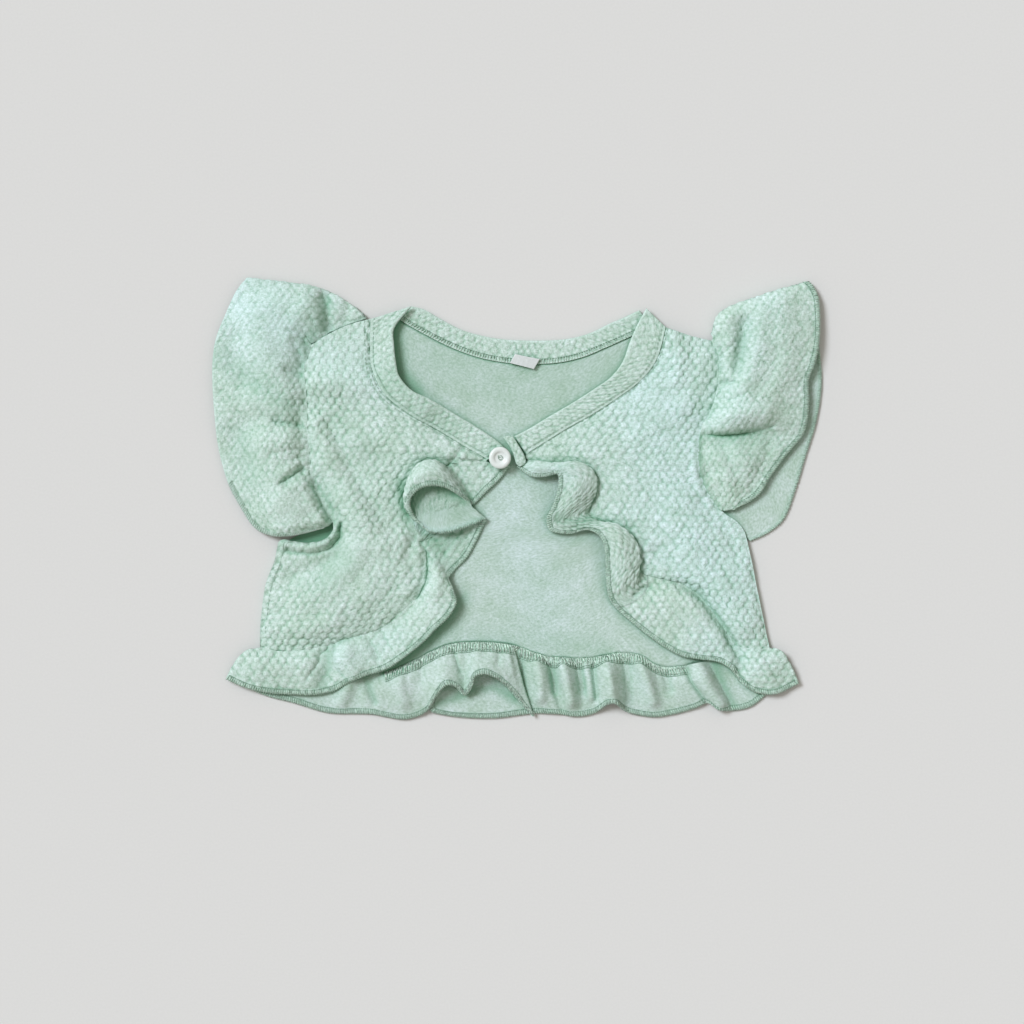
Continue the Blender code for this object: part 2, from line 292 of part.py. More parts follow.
RUFFLE_BACK = [
    Section((-128.0, -75.0, 0.6), (-133.5, -78.5, 0.6), (-138.0, -84.0, 0.6), (-142.0, -89.6, 0.6)),
    Section((-118.0, -78.4, 0.6), (-121.0, -84.0, 0.6), (-125.0, -91.0, 0.6), (-128.6, -97.2, 0.6)),
    Section((-107.0, -81.4, 0.6), (-109.0, -88.0, 0.6), (-111.0, -95.0, 0.6), (-112.0, -101.8, 0.6)),
    Section((-95.0, -84.2, 0.6), (-95.4, -91.0, 0.6), (-95.6, -99.0, 0.6), (-95.5, -106.6, 0.6)),
    Section((-84.0, -86.6, 0.6), (-83.4, -92.0, 0.6), (-82.8, -99.6, 0.6), (-82.0, -107.2, 0.6)),
    Section((-75.0, -88.0, 0.6), (-74.6, -93.0, 1.8), (-74.0, -100.0, 1.8), (-73.0, -107.4, 0.8)),
    Section((-66.0, -87.4, 0.6), (-66.0, -93.6, 3.0), (-66.0, -100.6, 2.4), (-65.0, -108.9, 0.7)),
    Section((-57.5, -84.6, 0.8), (-58.0, -90.4, 4.2), (-58.0, -99.0, 3.4), (-57.5, -110.0, 0.8)),
    Section((-51.0, -81.0, 0.8), (-50.6, -88.4, 3.6), (-50.4, -98.0, 3.2), (-50.8, -108.8, 0.9)),
    Section((-45.6, -78.0, 1.0), (-45.8, -86.0, 4.2), (-45.2, -96.0, 4.6), (-44.8, -105.4, 2.6)),
    Section((-41.0, -76.0, 1.4), (-41.6, -84.0, 5.4), (-41.6, -92.0, 6.6), (-41.4, -99.4, 6.2)),
    Section((-36.4, -74.2, 1.6), (-37.0, -81.0, 6.2), (-36.8, -87.6, 8.2), (-35.6, -92.6, 8.8)),     # arch
    Section((-31.8, -73.2, 1.6), (-32.0, -80.4, 5.6), (-31.4, -87.8, 6.8), (-30.4, -93.8, 6.8)),
    Section((-27.4, -72.8, 1.6), (-27.2, -81.0, 4.6), (-26.8, -90.0, 4.8), (-26.4, -97.8, 4.6)),
    Section((-24.2, -72.6, 1.8), (-23.9, -80.4, 5.6), (-23.9, -88.0, 7.0), (-23.5, -94.4, 7.0)),
    Section((-21.4, -72.5, 2.0), (-21.0, -78.8, 7.0), (-21.4, -84.6, 9.2), (-21.8, -88.8, 9.6)),
    Section((-17.8, -72.5, 2.2), (-17.2, -78.6, 7.2), (-17.0, -83.2, 9.8), (-17.0, -86.8, 10.4)),    # arch
    Section((-12.4, -72.6, 2.2), (-11.2, -79.2, 6.8), (-10.2, -84.8, 8.6), (-9.4, -89.6, 8.8)),
    Section((-7.4, -73.0, 2.2), (-5.2, -80.6, 6.0), (-3.6, -88.4, 7.0), (-2.2, -96.0, 6.4)),
    Section((-3.6, -74.2, 2.4), (-1.4, -83.0, 4.8), (0.8, -92.6, 4.8), (3.4, -102.8, 3.5)),
    Section((-2.8, -74.6, 2.2), (0.2, -83.4, 3.9), (3.2, -94.4, 3.5), (7.8, -108.2, 2.3)),           # fold
    Section((-2.4, -74.8, 1.9), (-0.8, -83.4, 2.8), (1.0, -93.0, 2.5), (3.8, -104.4, 1.9)),
    Section((-2.0, -74.9, 1.8), (-6.0, -82.0, 2.3), (-9.0, -86.4, 2.3), (-11.0, -89.4, 2.3)),
    Section((-1.6, -75.0, 1.8), (-12.0, -80.6, 2.2), (-20.0, -83.6, 2.2), (-26.0, -87.0, 2.2)),
    Section((-1.2, -75.1, 1.7), (-18.0, -81.0, 2.1), (-31.0, -86.4, 2.1), (-39.6, -96.4, 2.1)),
    Section((-0.8, -75.2, 1.4), (-17.0, -84.6, 1.4), (-31.0, -94.0, 1.4), (-43.6, -105.4, 1.4)),     # fold
    Section((-0.4, -75.4, 0.9), (-14.0, -87.4, 0.6), (-27.0, -98.0, 0.6), (-38.0, -107.6, 0.6)),
    Section((0.0, -75.6, 0.7), (-8.0, -88.0, 0.6), (-17.0, -98.8, 0.6), (-25.0, -109.2, 0.6)),
    Section((0.5, -75.8, 0.6), (-3.0, -88.0, 0.6), (-7.5, -98.6, 0.6), (-11.0, -109.4, 0.6)),
    Section((1.6, -76.2, 0.6), (1.4, -88.0, 0.6), (0.6, -98.4, 0.6), (0.4, -108.0, 0.6)),
    Section((5.4, -77.2, 0.8), (6.6, -86.4, 3.0), (8.0, -97.0, 2.3), (9.4, -107.0, 0.8)),
    Section((11.5, -78.6, 1.0), (13.5, -86.0, 4.4), (16.2, -96.6, 3.4), (20.0, -107.4, 0.9)),
    Section((17.0, -79.6, 0.8), (18.4, -87.0, 1.6), (19.8, -97.0, 1.4), (22.4, -107.6, 0.7)),
    Section((22.0, -80.0, 0.9), (23.6, -87.0, 5.0), (25.2, -97.0, 4.0), (27.2, -108.4, 1.0)),
    Section((29.5, -80.2, 0.8), (31.0, -87.0, 1.8), (32.0, -97.0, 1.6), (33.0, -108.4, 0.7)),
    Section((37.0, -79.8, 0.9), (38.0, -87.0, 2.8), (38.8, -97.0, 2.6), (39.2, -106.6, 1.2)),
    Section((44.6, -78.8, 1.0), (45.6, -86.0, 7.0), (46.6, -94.6, 8.0), (47.4, -101.4, 6.0)),      # arch
    Section((51.0, -77.4, 0.9), (52.0, -86.0, 3.0), (53.0, -96.6, 3.0), (54.6, -106.2, 1.4)),
    Section((56.4, -77.8, 0.8), (57.6, -87.0, 1.4), (59.0, -98.0, 1.2), (61.0, -108.0, 0.7)),
    Section((62.4, -79.4, 0.9), (63.8, -88.0, 4.0), (66.0, -98.0, 3.0), (69.0, -108.8, 0.8)),
    Section((69.0, -83.2, 0.8), (71.4, -90.0, 1.8), (74.6, -98.6, 1.6), (78.6, -107.4, 0.8)),
    Section((76.6, -84.6, 0.8), (79.6, -90.0, 3.4), (83.6, -97.0, 3.0), (88.4, -104.6, 1.2)),
    Section((83.6, -84.0, 0.7), (87.6, -89.0, 4.6), (91.6, -95.4, 4.4), (96.0, -101.6, 2.6)),
    Section((90.4, -82.4, 0.7), (93.8, -88.6, 3.0), (97.0, -96.6, 2.8), (100.4, -105.0, 1.4)),
    Section((97.6, -81.2, 0.6), (101.0, -87.6, 0.8), (104.6, -96.0, 0.8), (108.4, -105.6, 0.6)),
    Section((106.4, -79.8, 0.6), (109.4, -86.0, 0.6), (113.0, -94.4, 0.6), (117.0, -103.6, 0.6)),
    Section((115.6, -78.2, 0.6), (119.6, -83.6, 0.6), (123.4, -90.6, 0.6), (126.6, -96.2, 0.6)),
    Section((125.0, -75.4, 0.6), (129.4, -79.0, 0.6), (133.0, -84.5, 0.6), (136.4, -90.0, 0.6)),
]

BAND_LEFT = [
    BandRow((-72.6, 91.2, 3.0), (-53.0, 96.4, 4.2)),
    BandRow((-73.0, 83.0, 3.2), (-61.5, 85.5, 5.6)),
    BandRow((-72.9, 75.0, 3.4), (-61.6, 77.0, 6.4)),
    BandRow((-72.2, 66.4, 3.6), (-60.4, 67.0, 6.6)),
    BandRow((-69.0, 57.6, 3.6), (-59.0, 61.6, 6.4)),
    BandRow((-62.0, 49.4, 3.6), (-53.0, 54.6, 5.8)),
    BandRow((-53.0, 43.0, 3.6), (-43.6, 50.0, 4.8)),
    BandRow((-40.0, 35.6, 3.4), (-30.0, 42.0, 3.8)),
    BandRow((-27.0, 27.6, 3.2), (-17.0, 34.0, 3.4)),
    BandRow((-15.4, 20.4, 3.0), (-8.6, 28.0, 3.2)),
    BandRow((-10.6, 19.6, 3.0), (-5.6, 25.0, 3.2)),
]
BAND_RIGHT = [
    BandRow((74.4, 87.0, 2.8), (64.4, 95.6, 2.6)),
    BandRow((73.0, 80.0, 3.0), (60.0, 87.6, 3.0)),
    BandRow((70.6, 73.0, 3.0), (56.2, 79.0, 3.2)),
    BandRow((67.0, 66.4, 3.0), (52.6, 69.0, 3.2)),
    BandRow((61.5, 60.0, 3.0), (47.0, 61.6, 3.0)),
    BandRow((50.4, 51.6, 3.0), (37.0, 54.4, 2.9)),
    BandRow((38.4, 43.8, 3.0), (26.6, 47.8, 2.8)),
    BandRow((26.4, 37.0, 3.0), (15.6, 41.4, 2.8)),
    BandRow((14.4, 29.6, 3.0), (6.0, 35.6, 2.8)),
    BandRow((4.4, 22.4, 3.0), (-1.6, 31.6, 2.8)),
]
BAND_BACK = [
    BandRow((-60.0, 92.0, 0.9), (-53.5, 96.8, 0.9)),
    BandRow((-55.0, 88.9, 0.9), (-47.0, 95.2, 0.9)),
    BandRow((-47.0, 84.5, 0.9), (-39.5, 91.0, 0.9)),
    BandRow((-33.0, 77.5, 0.9), (-28.0, 85.0, 0.9)),
    BandRow((-19.0, 72.5, 0.9), (-16.0, 81.6, 0.9)),
    BandRow((-5.0, 69.9, 0.9), (-4.6, 80.0, 0.9)),
    BandRow((8.0, 69.3, 0.9), (9.0, 79.6, 0.9)),
    BandRow((21.3, 70.1, 0.9), (21.3, 80.0, 0.9)),
    BandRow((33.0, 72.9, 0.9), (30.0, 81.4, 0.9)),
    BandRow((45.0, 77.9, 0.9), (38.0, 84.0, 0.9)),
    BandRow((54.0, 81.9, 0.9), (46.0, 88.0, 0.9)),
    BandRow((61.0, 85.3, 0.9), (53.0, 91.0, 0.9)),
    BandRow((67.0, 88.2, 0.9), (61.0, 94.8, 0.9)),
]

LOOP = [
    BandRow((-7.2, 31.2, 4.9), (-2.6, 32.0, 4.9)),
    BandRow((-4.6, 27.6, 5.1), (-0.4, 28.6, 5.1)),
    BandRow((-2.4, 23.6, 5.2), (1.8, 25.0, 5.2)),
    BandRow((-1.4, 20.2, 5.0), (3.6, 21.6, 5.0)),
    BandRow((-0.6, 17.9, 4.9), (4.2, 19.1, 4.9)),
]
LABEL = [
    BandRow((-3.75, 68.25, 2.9), (-1.25, 72.75, 3.1)),
    BandRow((2.2, 66.8, 2.9), (5.0, 71.4, 3.1)),
    BandRow((8.25, 65.25, 2.6), (11.25, 70.25, 3.0)),
]

# ------------------------------------------------------------------------------------- curves and grids


def through(points, knots, values):
    """Points at some knot values on the smooth curve that passes through points at their knots."""
    points = np.asarray(points, dtype=float)
    knots = np.asarray(knots, dtype=float)
    spans = np.diff(knots)
    spread = (-1,) + (1,) * (points.ndim - 1)
    slopes = np.diff(points, axis=0) / spans.reshape(spread)
    tangents = np.concatenate([slopes[:1], slopes[:1], slopes[1:]]) if len(points) == 2 else np.concatenate(
        [slopes[:1], (slopes[1:] * spans[:-1].reshape(spread) + slopes[:-1] * spans[1:].reshape(spread))
         / (spans[:-1] + spans[1:]).reshape(spread), slopes[-1:]])
    index = np.clip(np.searchsorted(knots, values, side="right") - 1, 0, len(spans) - 1)
    span = spans[index].reshape(spread)
    t = (np.asarray(values) - knots[index]).reshape(spread) / span
    start, end = points[index], points[index + 1]
    return ((2 * t ** 3 - 3 * t ** 2 + 1) * start + (t ** 3 - 2 * t ** 2 + t) * span * tangents[index]
            + (3 * t ** 2 - 2 * t ** 3) * end + (t ** 3 - t ** 2) * span * tangents[index + 1])


def chord_knots(points):
    """Centripetal knots along rows of points: (rows, 3) or (rows, columns, 3)."""
    steps = np.linalg.norm(np.diff(points, axis=0), axis=-1)
    if steps.ndim > 1:
        steps = steps.mean(axis=1)
    return np.concatenate([[0.0], np.cumsum(np.sqrt(np.maximum(steps, 0.05)))])


def knot_values(points, step):
    """Knot values that cut each interval between rows into quads of about one step."""
    knots = chord_knots(points)
    lengths = np.linalg.norm(np.diff(points, axis=0), axis=-1)
    if lengths.ndim > 1:
        lengths = lengths.mean(axis=1)
    values = [knots[0]]
    for low, high, length in zip(knots, knots[1:], lengths):
        count = max(1, round(length / step))
        values.extend(low + (high - low) * k / count for k in range(1, count + 1))
    return np.array(values)


def across(sections, count):
    """Each section's control points, refined to count + 1 points along its own smooth curve."""
    rows = []
    for section in sections:
        knots = chord_knots(section)
        rows.append(through(section, knots, np.linspace(0, knots[-1], count + 1)))
    return np.array(rows)


class Path:
    """A polyline that a strip is sewn to, read by its share of the length."""

    def __init__(self, points):
        self.points = np.asarray(points, dtype=float)
        steps = np.linalg.norm(np.diff(self.points, axis=0), axis=1)
        self.shares = np.concatenate([[0.0], np.cumsum(steps)]) / steps.sum()

    def at(self, shares):
        return np.stack([np.interp(shares, self.shares, self.points[:, k]) for k in range(3)], axis=1)

    def share_near(self, point, least):
        """The share of the point nearest to the given one, not before least."""
        shares = np.linspace(least, 1, PATH_READINGS)
        return shares[np.argmin(np.linalg.norm(self.at(shares) - np.asarray(point), axis=1))]


def moved_out(edge, inside, gap=SEAM_GAP):
    """A panel's edge, moved by a gap in plan, square to its line and away from the points inside it."""
    run = np.gradient(edge, axis=0)[:, :2]
    run /= np.linalg.norm(run, axis=1)[:, None]
    out = (edge - inside)[:, :2]
    out = out - (out * run).sum(axis=1)[:, None] * run
    out /= np.linalg.norm(out, axis=1)[:, None]
    return np.concatenate([edge[:, :2] + gap * out, edge[:, 2:]], axis=1)


def add_folds(grid, folds):
    """Raise or sink a grid along soft folds."""
    for fold in folds:
        start = np.array(fold.start, dtype=float)
        run = np.array(fold.end, dtype=float) - start
        plan = grid[..., :2] - start
        share = np.clip((plan @ run) / (run @ run), 0, 1)
        distance = np.linalg.norm(plan - share[..., None] * run, axis=-1)
        share_of_height = np.clip((grid[..., 2] - WALL) / FOLD_RISE, 0, 1)
        grid[..., 2] += share_of_height * fold.height * np.exp(-(distance / fold.width) ** 2)
    grid[..., 2] = np.maximum(grid[..., 2], TABLE_LAYER)
    return grid


def panel_grid(rows, count, folds):
    """A panel's grid and, for each table row, its place in the grid."""
    share = np.linspace(0, 1, ROW_POINTS)[:, None]
    arc = 4 * share * (1 - share)
    sections = []
    for row in rows:
        outer, inner = np.array(row.outer), np.array(row.inner)
        line = outer + (inner - outer) * share
        sections.append(line + arc * np.array([0, row.bend, row.crown]))
    sections = np.array(sections)
    values = knot_values(sections, PANEL_STEP)
    places = np.searchsorted(values, chord_knots(sections) - 1e-9)
    dense = through(sections, chord_knots(sections), values)
    return add_folds(across(dense, count), folds), places


def strip_grid(sections, count, path=None, folds=()):
    """A strip's grid; with a path, its seam follows that path exactly."""
    sections = np.array(sections, dtype=float)
    knots = chord_knots(sections)
    values = knot_values(sections, GRID_STEP)
    dense = through(sections, knots, values)
    if path is not None:
        shares = []
        for section in sections:
            shares.append(path.share_near(section[0], shares[-1] + LEAST_STEP if shares else 0.0))
        dense[:, 0, :2] = path.at(through(shares, knots, values))[:, :2]
    return add_folds(across(dense, count), folds)


# ---------------------------------------------------------------------------------------------- objects


def placed(point):
    """A table point as a place in the model."""
    return (Vector(point) - CENTRE) * MM


def new_collection(name):
    collection = bpy.data.collections.new(name)
    bpy.context.scene.collection.children.link(collection)
    return collection


def new_material(name, colour, roughness):
    material = bpy.data.materials.new(name)
    material.use_nodes = True
    shader = material.node_tree.nodes["Principled BSDF"]
    shader.inputs["Base Color"].default_value = (*colour, 1.0)
    shader.inputs["Roughness"].default_value = roughness
    shader.inputs["Metallic"].default_value = 0.0
    return material


def add_object(name, mesh, material, collection):
    item = bpy.data.objects.new(name, mesh)
    item.data.materials.append(material)
    collection.objects.link(item)
    return item


def sheet_mesh(name, grid):
    """A mesh of quads through a grid of points in millimetres, facing up."""
    bm = bmesh.new()
    rows = [[bm.verts.new(placed(point)) for point in row] for row in grid]
    for row, below in zip(rows, rows[1:]):
        for a, b, c, d in zip(row, row[1:], below[1:], below):
            bm.faces.new((a, b, c, d))
    bm.normal_update()
    if sum(face.normal.z * face.calc_area() for face in bm.faces) < 0:
        bmesh.ops.reverse_faces(bm, faces=bm.faces)
    mesh = bpy.data.meshes.new(name)
    bm.to_mesh(mesh)
    bm.free()
    mesh.shade_smooth()
    return mesh


def add_cloth(name, grid, material, collection, wall=WALL):
    item = add_object(name, sheet_mesh(name, grid), material, collection)
    solid = item.modifiers.new("Wall", "SOLIDIFY")
    solid.thickness = wall * MM
    solid.offset = 0.0
    return item


def back_grid():
    """A patch between the back's four edges, flat on the table."""
    def edge(points, count):
        points = np.array([(x, y, TABLE_LAYER) for x, y in points], dtype=float)
        knots = chord_knots(points)
        fine = through(points, knots, np.linspace(0, knots[-1], EDGE_READINGS))
        return Path(fine).at(np.linspace(0, 1, count + 1))

    top, bottom = edge(BACK_TOP, BACK_COLUMNS), edge(BACK_BOTTOM, BACK_COLUMNS)
    left, right = edge(BACK_LEFT, BACK_ROWS), edge(BACK_RIGHT, BACK_ROWS)
    u = np.linspace(0, 1, BACK_COLUMNS + 1)[None, :, None]
    v = np.linspace(0, 1, BACK_ROWS + 1)[:, None, None]
    ruled = (1 - v) * top[None] + v * bottom[None] + (1 - u) * left[:, None] + u * right[:, None]
    corners = ((1 - u) * (1 - v) * top[0] + u * (1 - v) * top[-1]
               + (1 - u) * v * bottom[0] + u * v * bottom[-1])
    return ruled - corners


def add_button(material, collection):
    """A round button turned from its profile, with a rim, a sunk middle and two thread holes."""
    radius, height = BUTTON_RADIUS, BUTTON_HEIGHT
    profile = [(0.0, height * 0.62), (radius * 0.42, height * 0.62), (radius * 0.52, height * 0.86),
               (radius * 0.78, height), (radius * 0.95, height * 0.82), (radius, height * 0.5),
               (radius * 0.92, height * 0.12), (radius * 0.74, 0.0), (0.0, 0.0)]
    mesh = bpy.data.meshes.new("button")
    bm = bmesh.new()
    verts = [bm.verts.new(Vector((r, 0.0, z)) * MM) for r, z in profile]
    for a, b in zip(verts, verts[1:]):
        bm.edges.new((a, b))
    bm.to_mesh(mesh)
    bm.free()
    button = add_object("button", mesh, material, collection)
    button.location = placed((*BUTTON_PLACE, BUTTON_REST))
    screw = button.modifiers.new("Turn", "SCREW")
    screw.steps = BUTTON_STEPS
    screw.render_steps = BUTTON_STEPS
    screw.use_merge_vertices = True
    screw.merge_threshold = 0.00001
    return button


def cut_button_holes(button, collection):
    """Two thread holes right through, cut with hidden cylinders."""
    for side in (-1, 1):
        bpy.ops.mesh.primitive_cylinder_add(vertices=HOLE_STEPS, radius=HOLE_RADIUS * MM,
                                            depth=4 * BUTTON_HEIGHT * MM)
        cutter = bpy.context.active_object
        cutter.name = "button_hole_cutter"
        x, y = BUTTON_PLACE
        cutter.location = placed((x + side * HOLE_OFFSET, y, BUTTON_REST))
        cutter.hide_render = True
        cutter.display_type = "WIRE"
        for owner in cutter.users_collection:
            owner.objects.unlink(cutter)
        collection.objects.link(cutter)
        cut = button.modifiers.new("Thread hole", "BOOLEAN")
        cut.operation = "DIFFERENCE"
        cut.object = cutter


def neck_path(panel, places, rows):
    """The line a front's neck band is sewn to."""
    part = panel[places[rows[0]]:places[rows[1]] + 1]
    return Path(moved_out(part[:, -1], part[:, -2]))


def front_path(panel, places, rows):
    """The line a front's ruffle is sewn to: down the front edge, then out along the hem."""
    foot = places[rows[1]]
    front_inside = (panel[foot:, -2] + panel[foot - 1:-1, -2]) / 2
    edge = np.concatenate([panel[foot:, -1], panel[-1, -2::-1]])
    inside = np.concatenate([front_inside, panel[-2, -2::-1]])
    return Path(moved_out(edge, inside))


def sleeve_path(panel, places, rows, shoulder, back_shoulder, back):
    """The line a sleeve is sewn to: up the front armhole, over the shoulder, down the back armhole."""
    part = panel[places[rows[0]]:places[rows[1]] + 1]
    front = moved_out(part[::-1, 0], part[::-1, 1])
    count = round(len(back) * BACK_ARMHOLE_SHARE)
    rear = moved_out(back[2:count, 0], back[2:count, 1], REAR_GAP)
    return Path(np.concatenate([front, shoulder, back_shoulder, rear]))


def build():
    for item in list(bpy.data.objects):
        bpy.data.objects.remove(item)
    parts = new_collection("baby_shrug")
    cutters = new_collection("cutters")
    knit = new_material("mint bubble knit", (0.50, 0.68, 0.61), 0.9)
    inside = new_material("mint plain knit", (0.47, 0.62, 0.56), 0.9)
    band = new_material("mint band", (0.52, 0.70, 0.63), 0.9)
    shell = new_material("white button", (0.86, 0.88, 0.86), 0.25)
    ribbon = new_material("label", (0.62, 0.66, 0.66), 0.6)

    back = back_grid()
    left, left_places = panel_grid(FRONT_LEFT, PANEL_COLUMNS, FRONT_LEFT_FOLDS)
    right, right_places = panel_grid(FRONT_RIGHT, PANEL_COLUMNS, FRONT_RIGHT_FOLDS)
    add_cloth("back_panel", back, inside, parts)
    add_cloth("front_left", left, knit, parts)
    add_cloth("front_right", right, knit, parts)

    path = neck_path(left, left_places, LEFT_NECK_ROWS)
    add_cloth("neckband_left", strip_grid(BAND_LEFT, BAND_COLUMNS, path), band, parts, BAND_WALL)
    path = neck_path(right, right_places, RIGHT_NECK_ROWS)
    add_cloth("neckband_right", strip_grid(BAND_RIGHT, BAND_COLUMNS, path), band, parts, BAND_WALL)
    add_cloth("neckband_back", strip_grid(BAND_BACK, BAND_COLUMNS), band, parts, BAND_WALL)

    path = front_path(left, left_places, LEFT_NECK_ROWS)
    add_cloth("ruffle_left", strip_grid(RUFFLE_LEFT, RUFFLE_COLUMNS, path), knit, parts)
    path = front_path(right, right_places, RIGHT_NECK_ROWS)
    add_cloth("ruffle_right", strip_grid(RUFFLE_RIGHT, RUFFLE_COLUMNS, path), knit, parts)
    path = Path(moved_out(back[-1], back[-2]))
    add_cloth("ruffle_back", strip_grid(RUFFLE_BACK, BACK_RUFFLE_COLUMNS, path), inside, parts)

    path = sleeve_path(left, left_places, LEFT_ARMHOLE_ROWS, SLEEVE_LEFT_SHOULDER, SLEEVE_LEFT_BACK, back)
    add_cloth("sleeve_left", strip_grid(SLEEVE_LEFT, SLEEVE_COLUMNS, path, SLEEVE_LEFT_FOLDS), knit, parts)
    path = sleeve_path(right, right_places, RIGHT_ARMHOLE_ROWS, SLEEVE_RIGHT_SHOULDER, SLEEVE_RIGHT_BACK,
                       back[:, ::-1])
    add_cloth("sleeve_right", strip_grid(SLEEVE_RIGHT, SLEEVE_COLUMNS, path, SLEEVE_RIGHT_FOLDS), knit,
              parts)

    add_cloth("button_loop", strip_grid(LOOP, BAND_COLUMNS), band, parts, LOOP_WALL)
    add_cloth("label", strip_grid(LABEL, BAND_COLUMNS), ribbon, parts, LABEL_WALL)
    button = add_button(shell, parts)
    cut_button_holes(button, cutters)


build()
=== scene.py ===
"""The looks of a baby's mint-green bubble-knit shrug, laid flat and seen from straight above.

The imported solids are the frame. Every cloth piece is made again here from the same tables as the solids,
on a finer grid, with the bubbles of the knit, creases, overlocked edges and stitching on it. Tables are in
millimetres in the garment's own plan, and the scene is in metres.
"""
from collections import namedtuple

import bpy
import numpy as np
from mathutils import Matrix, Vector


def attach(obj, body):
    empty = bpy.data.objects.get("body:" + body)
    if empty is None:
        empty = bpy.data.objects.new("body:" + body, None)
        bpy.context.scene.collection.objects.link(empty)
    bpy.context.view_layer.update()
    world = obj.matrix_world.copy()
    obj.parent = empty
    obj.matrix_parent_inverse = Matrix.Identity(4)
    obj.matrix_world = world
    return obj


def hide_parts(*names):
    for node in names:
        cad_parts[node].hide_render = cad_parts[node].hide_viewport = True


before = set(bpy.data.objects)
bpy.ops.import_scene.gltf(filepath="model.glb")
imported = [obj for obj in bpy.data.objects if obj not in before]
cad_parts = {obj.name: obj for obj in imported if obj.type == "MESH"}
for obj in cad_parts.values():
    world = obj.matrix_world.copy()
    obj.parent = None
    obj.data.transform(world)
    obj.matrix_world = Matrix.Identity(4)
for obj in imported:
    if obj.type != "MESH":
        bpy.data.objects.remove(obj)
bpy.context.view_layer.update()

MM = 0.001

# Driving sizes of the solids, in millimetres.
WALL = 1.2                 # one layer of the knit, uncompressed
BAND_WALL = 1.8            # neck bands are folded double
TABLE_LAYER = WALL / 2     # height of the middle of a layer that lies on the table
FOLD_RISE = 1.5            # a soft fold is full where the cloth is this far above the layer below
BUTTON_RADIUS = 5.5
BUTTON_HEIGHT = 2.6
BUTTON_PLACE = (-8.75, 20.75)
BUTTON_REST = 5.4          # height of the button's back
CENTRE = np.array([-0.223, 0.499, 0.0])     # the middle of the garment's box in table coordinates

# Driving sizes of the looks.
SEAM_GAP = 0.04            # between the middle lines of two pieces that are sewn together
STEP = 0.72                # length of a quad where the bubbles show
CELL_WIDTH = 4.05          # one bubble of the knit
CELL_ROW = 3.1             # from one row of bubbles to the next
CELL_DEPTH = 1.1           # from a bubble's top to the gap beside it
CELL_REACH = 2.25          # how broad a bubble's dome is
YARN = 0.055               # how rough the yarn leaves the surface
PAINTED_SHADE_REACH = 9.0               # how near other cloth makes a place a hollow, where painted shade turns the mint deeper and greener
PLAIN_TONE = 0.72          # tone of knit that is pulled flat, between the painted shade of a gap and a bubble's top
ROW_POINTS = 7             # points that a panel's row is bent through
EDGE_READINGS = 400        # points that a curved edge is read at
PATH_READINGS = 1500       # places where a seam line is tried for the nearest point
LEAST_STEP = 0.002         # least share of a seam line between two sections
LEAST_ROW_STEP = 0.05      # rows count as at least this far apart
LATTICE = 64               # random values along each side of a field of noise
CELL_SIZES = (0.70, 1.0)   # least and greatest height of a bubble
CELL_DRIFT = 0.12          # how far a bubble is off its place, in cells
DOME_POWER = 1.6           # how full a bubble's dome is
FINE_HEIGHT = 0.13         # height of the fine texture, as a share of a bubble's
FINE_SCALE = 1.5
BUBBLE_RISE = 0.2          # how far a bubble's top stands out of the wall
WRONG_RELIEF = 0.1         # depth of the texture on the wrong side
PATCH_SHARE = 0.18         # how much the bubbles' depth changes from patch to patch
PATCH_SCALE = 14
THREAD_SIDES = 5
NEEDLE_RADIUS = 0.17       # of the overlock's needle line
THREAD_LIFT = 0.12         # how far overlock thread stands off the wall
STITCH_PITCH = 2.3         # topstitching: from stitch to stitch, the share that shows, its bow and its radius
STITCH_SHARE = 0.82
STITCH_LIFT = 0.1
STITCH_RADIUS = 0.11
STITCH_OFF = 0.02          # how far sewing thread is from the wall
GROOVE_DEPTH = 0.18        # the groove that topstitching pulls in
GROOVE_WIDTH = 0.5

# ---------------------------------------------------------------------------------------------- tables

# Rows of plain numbers. A front's row: its outer point, its inner point, and its bend in y and crown in z at
# the middle. A strip's row: points from its seam to its free edge, three numbers each. A fold or crease: its
# width, its height, which is below zero for a groove, and its line, two numbers a point.

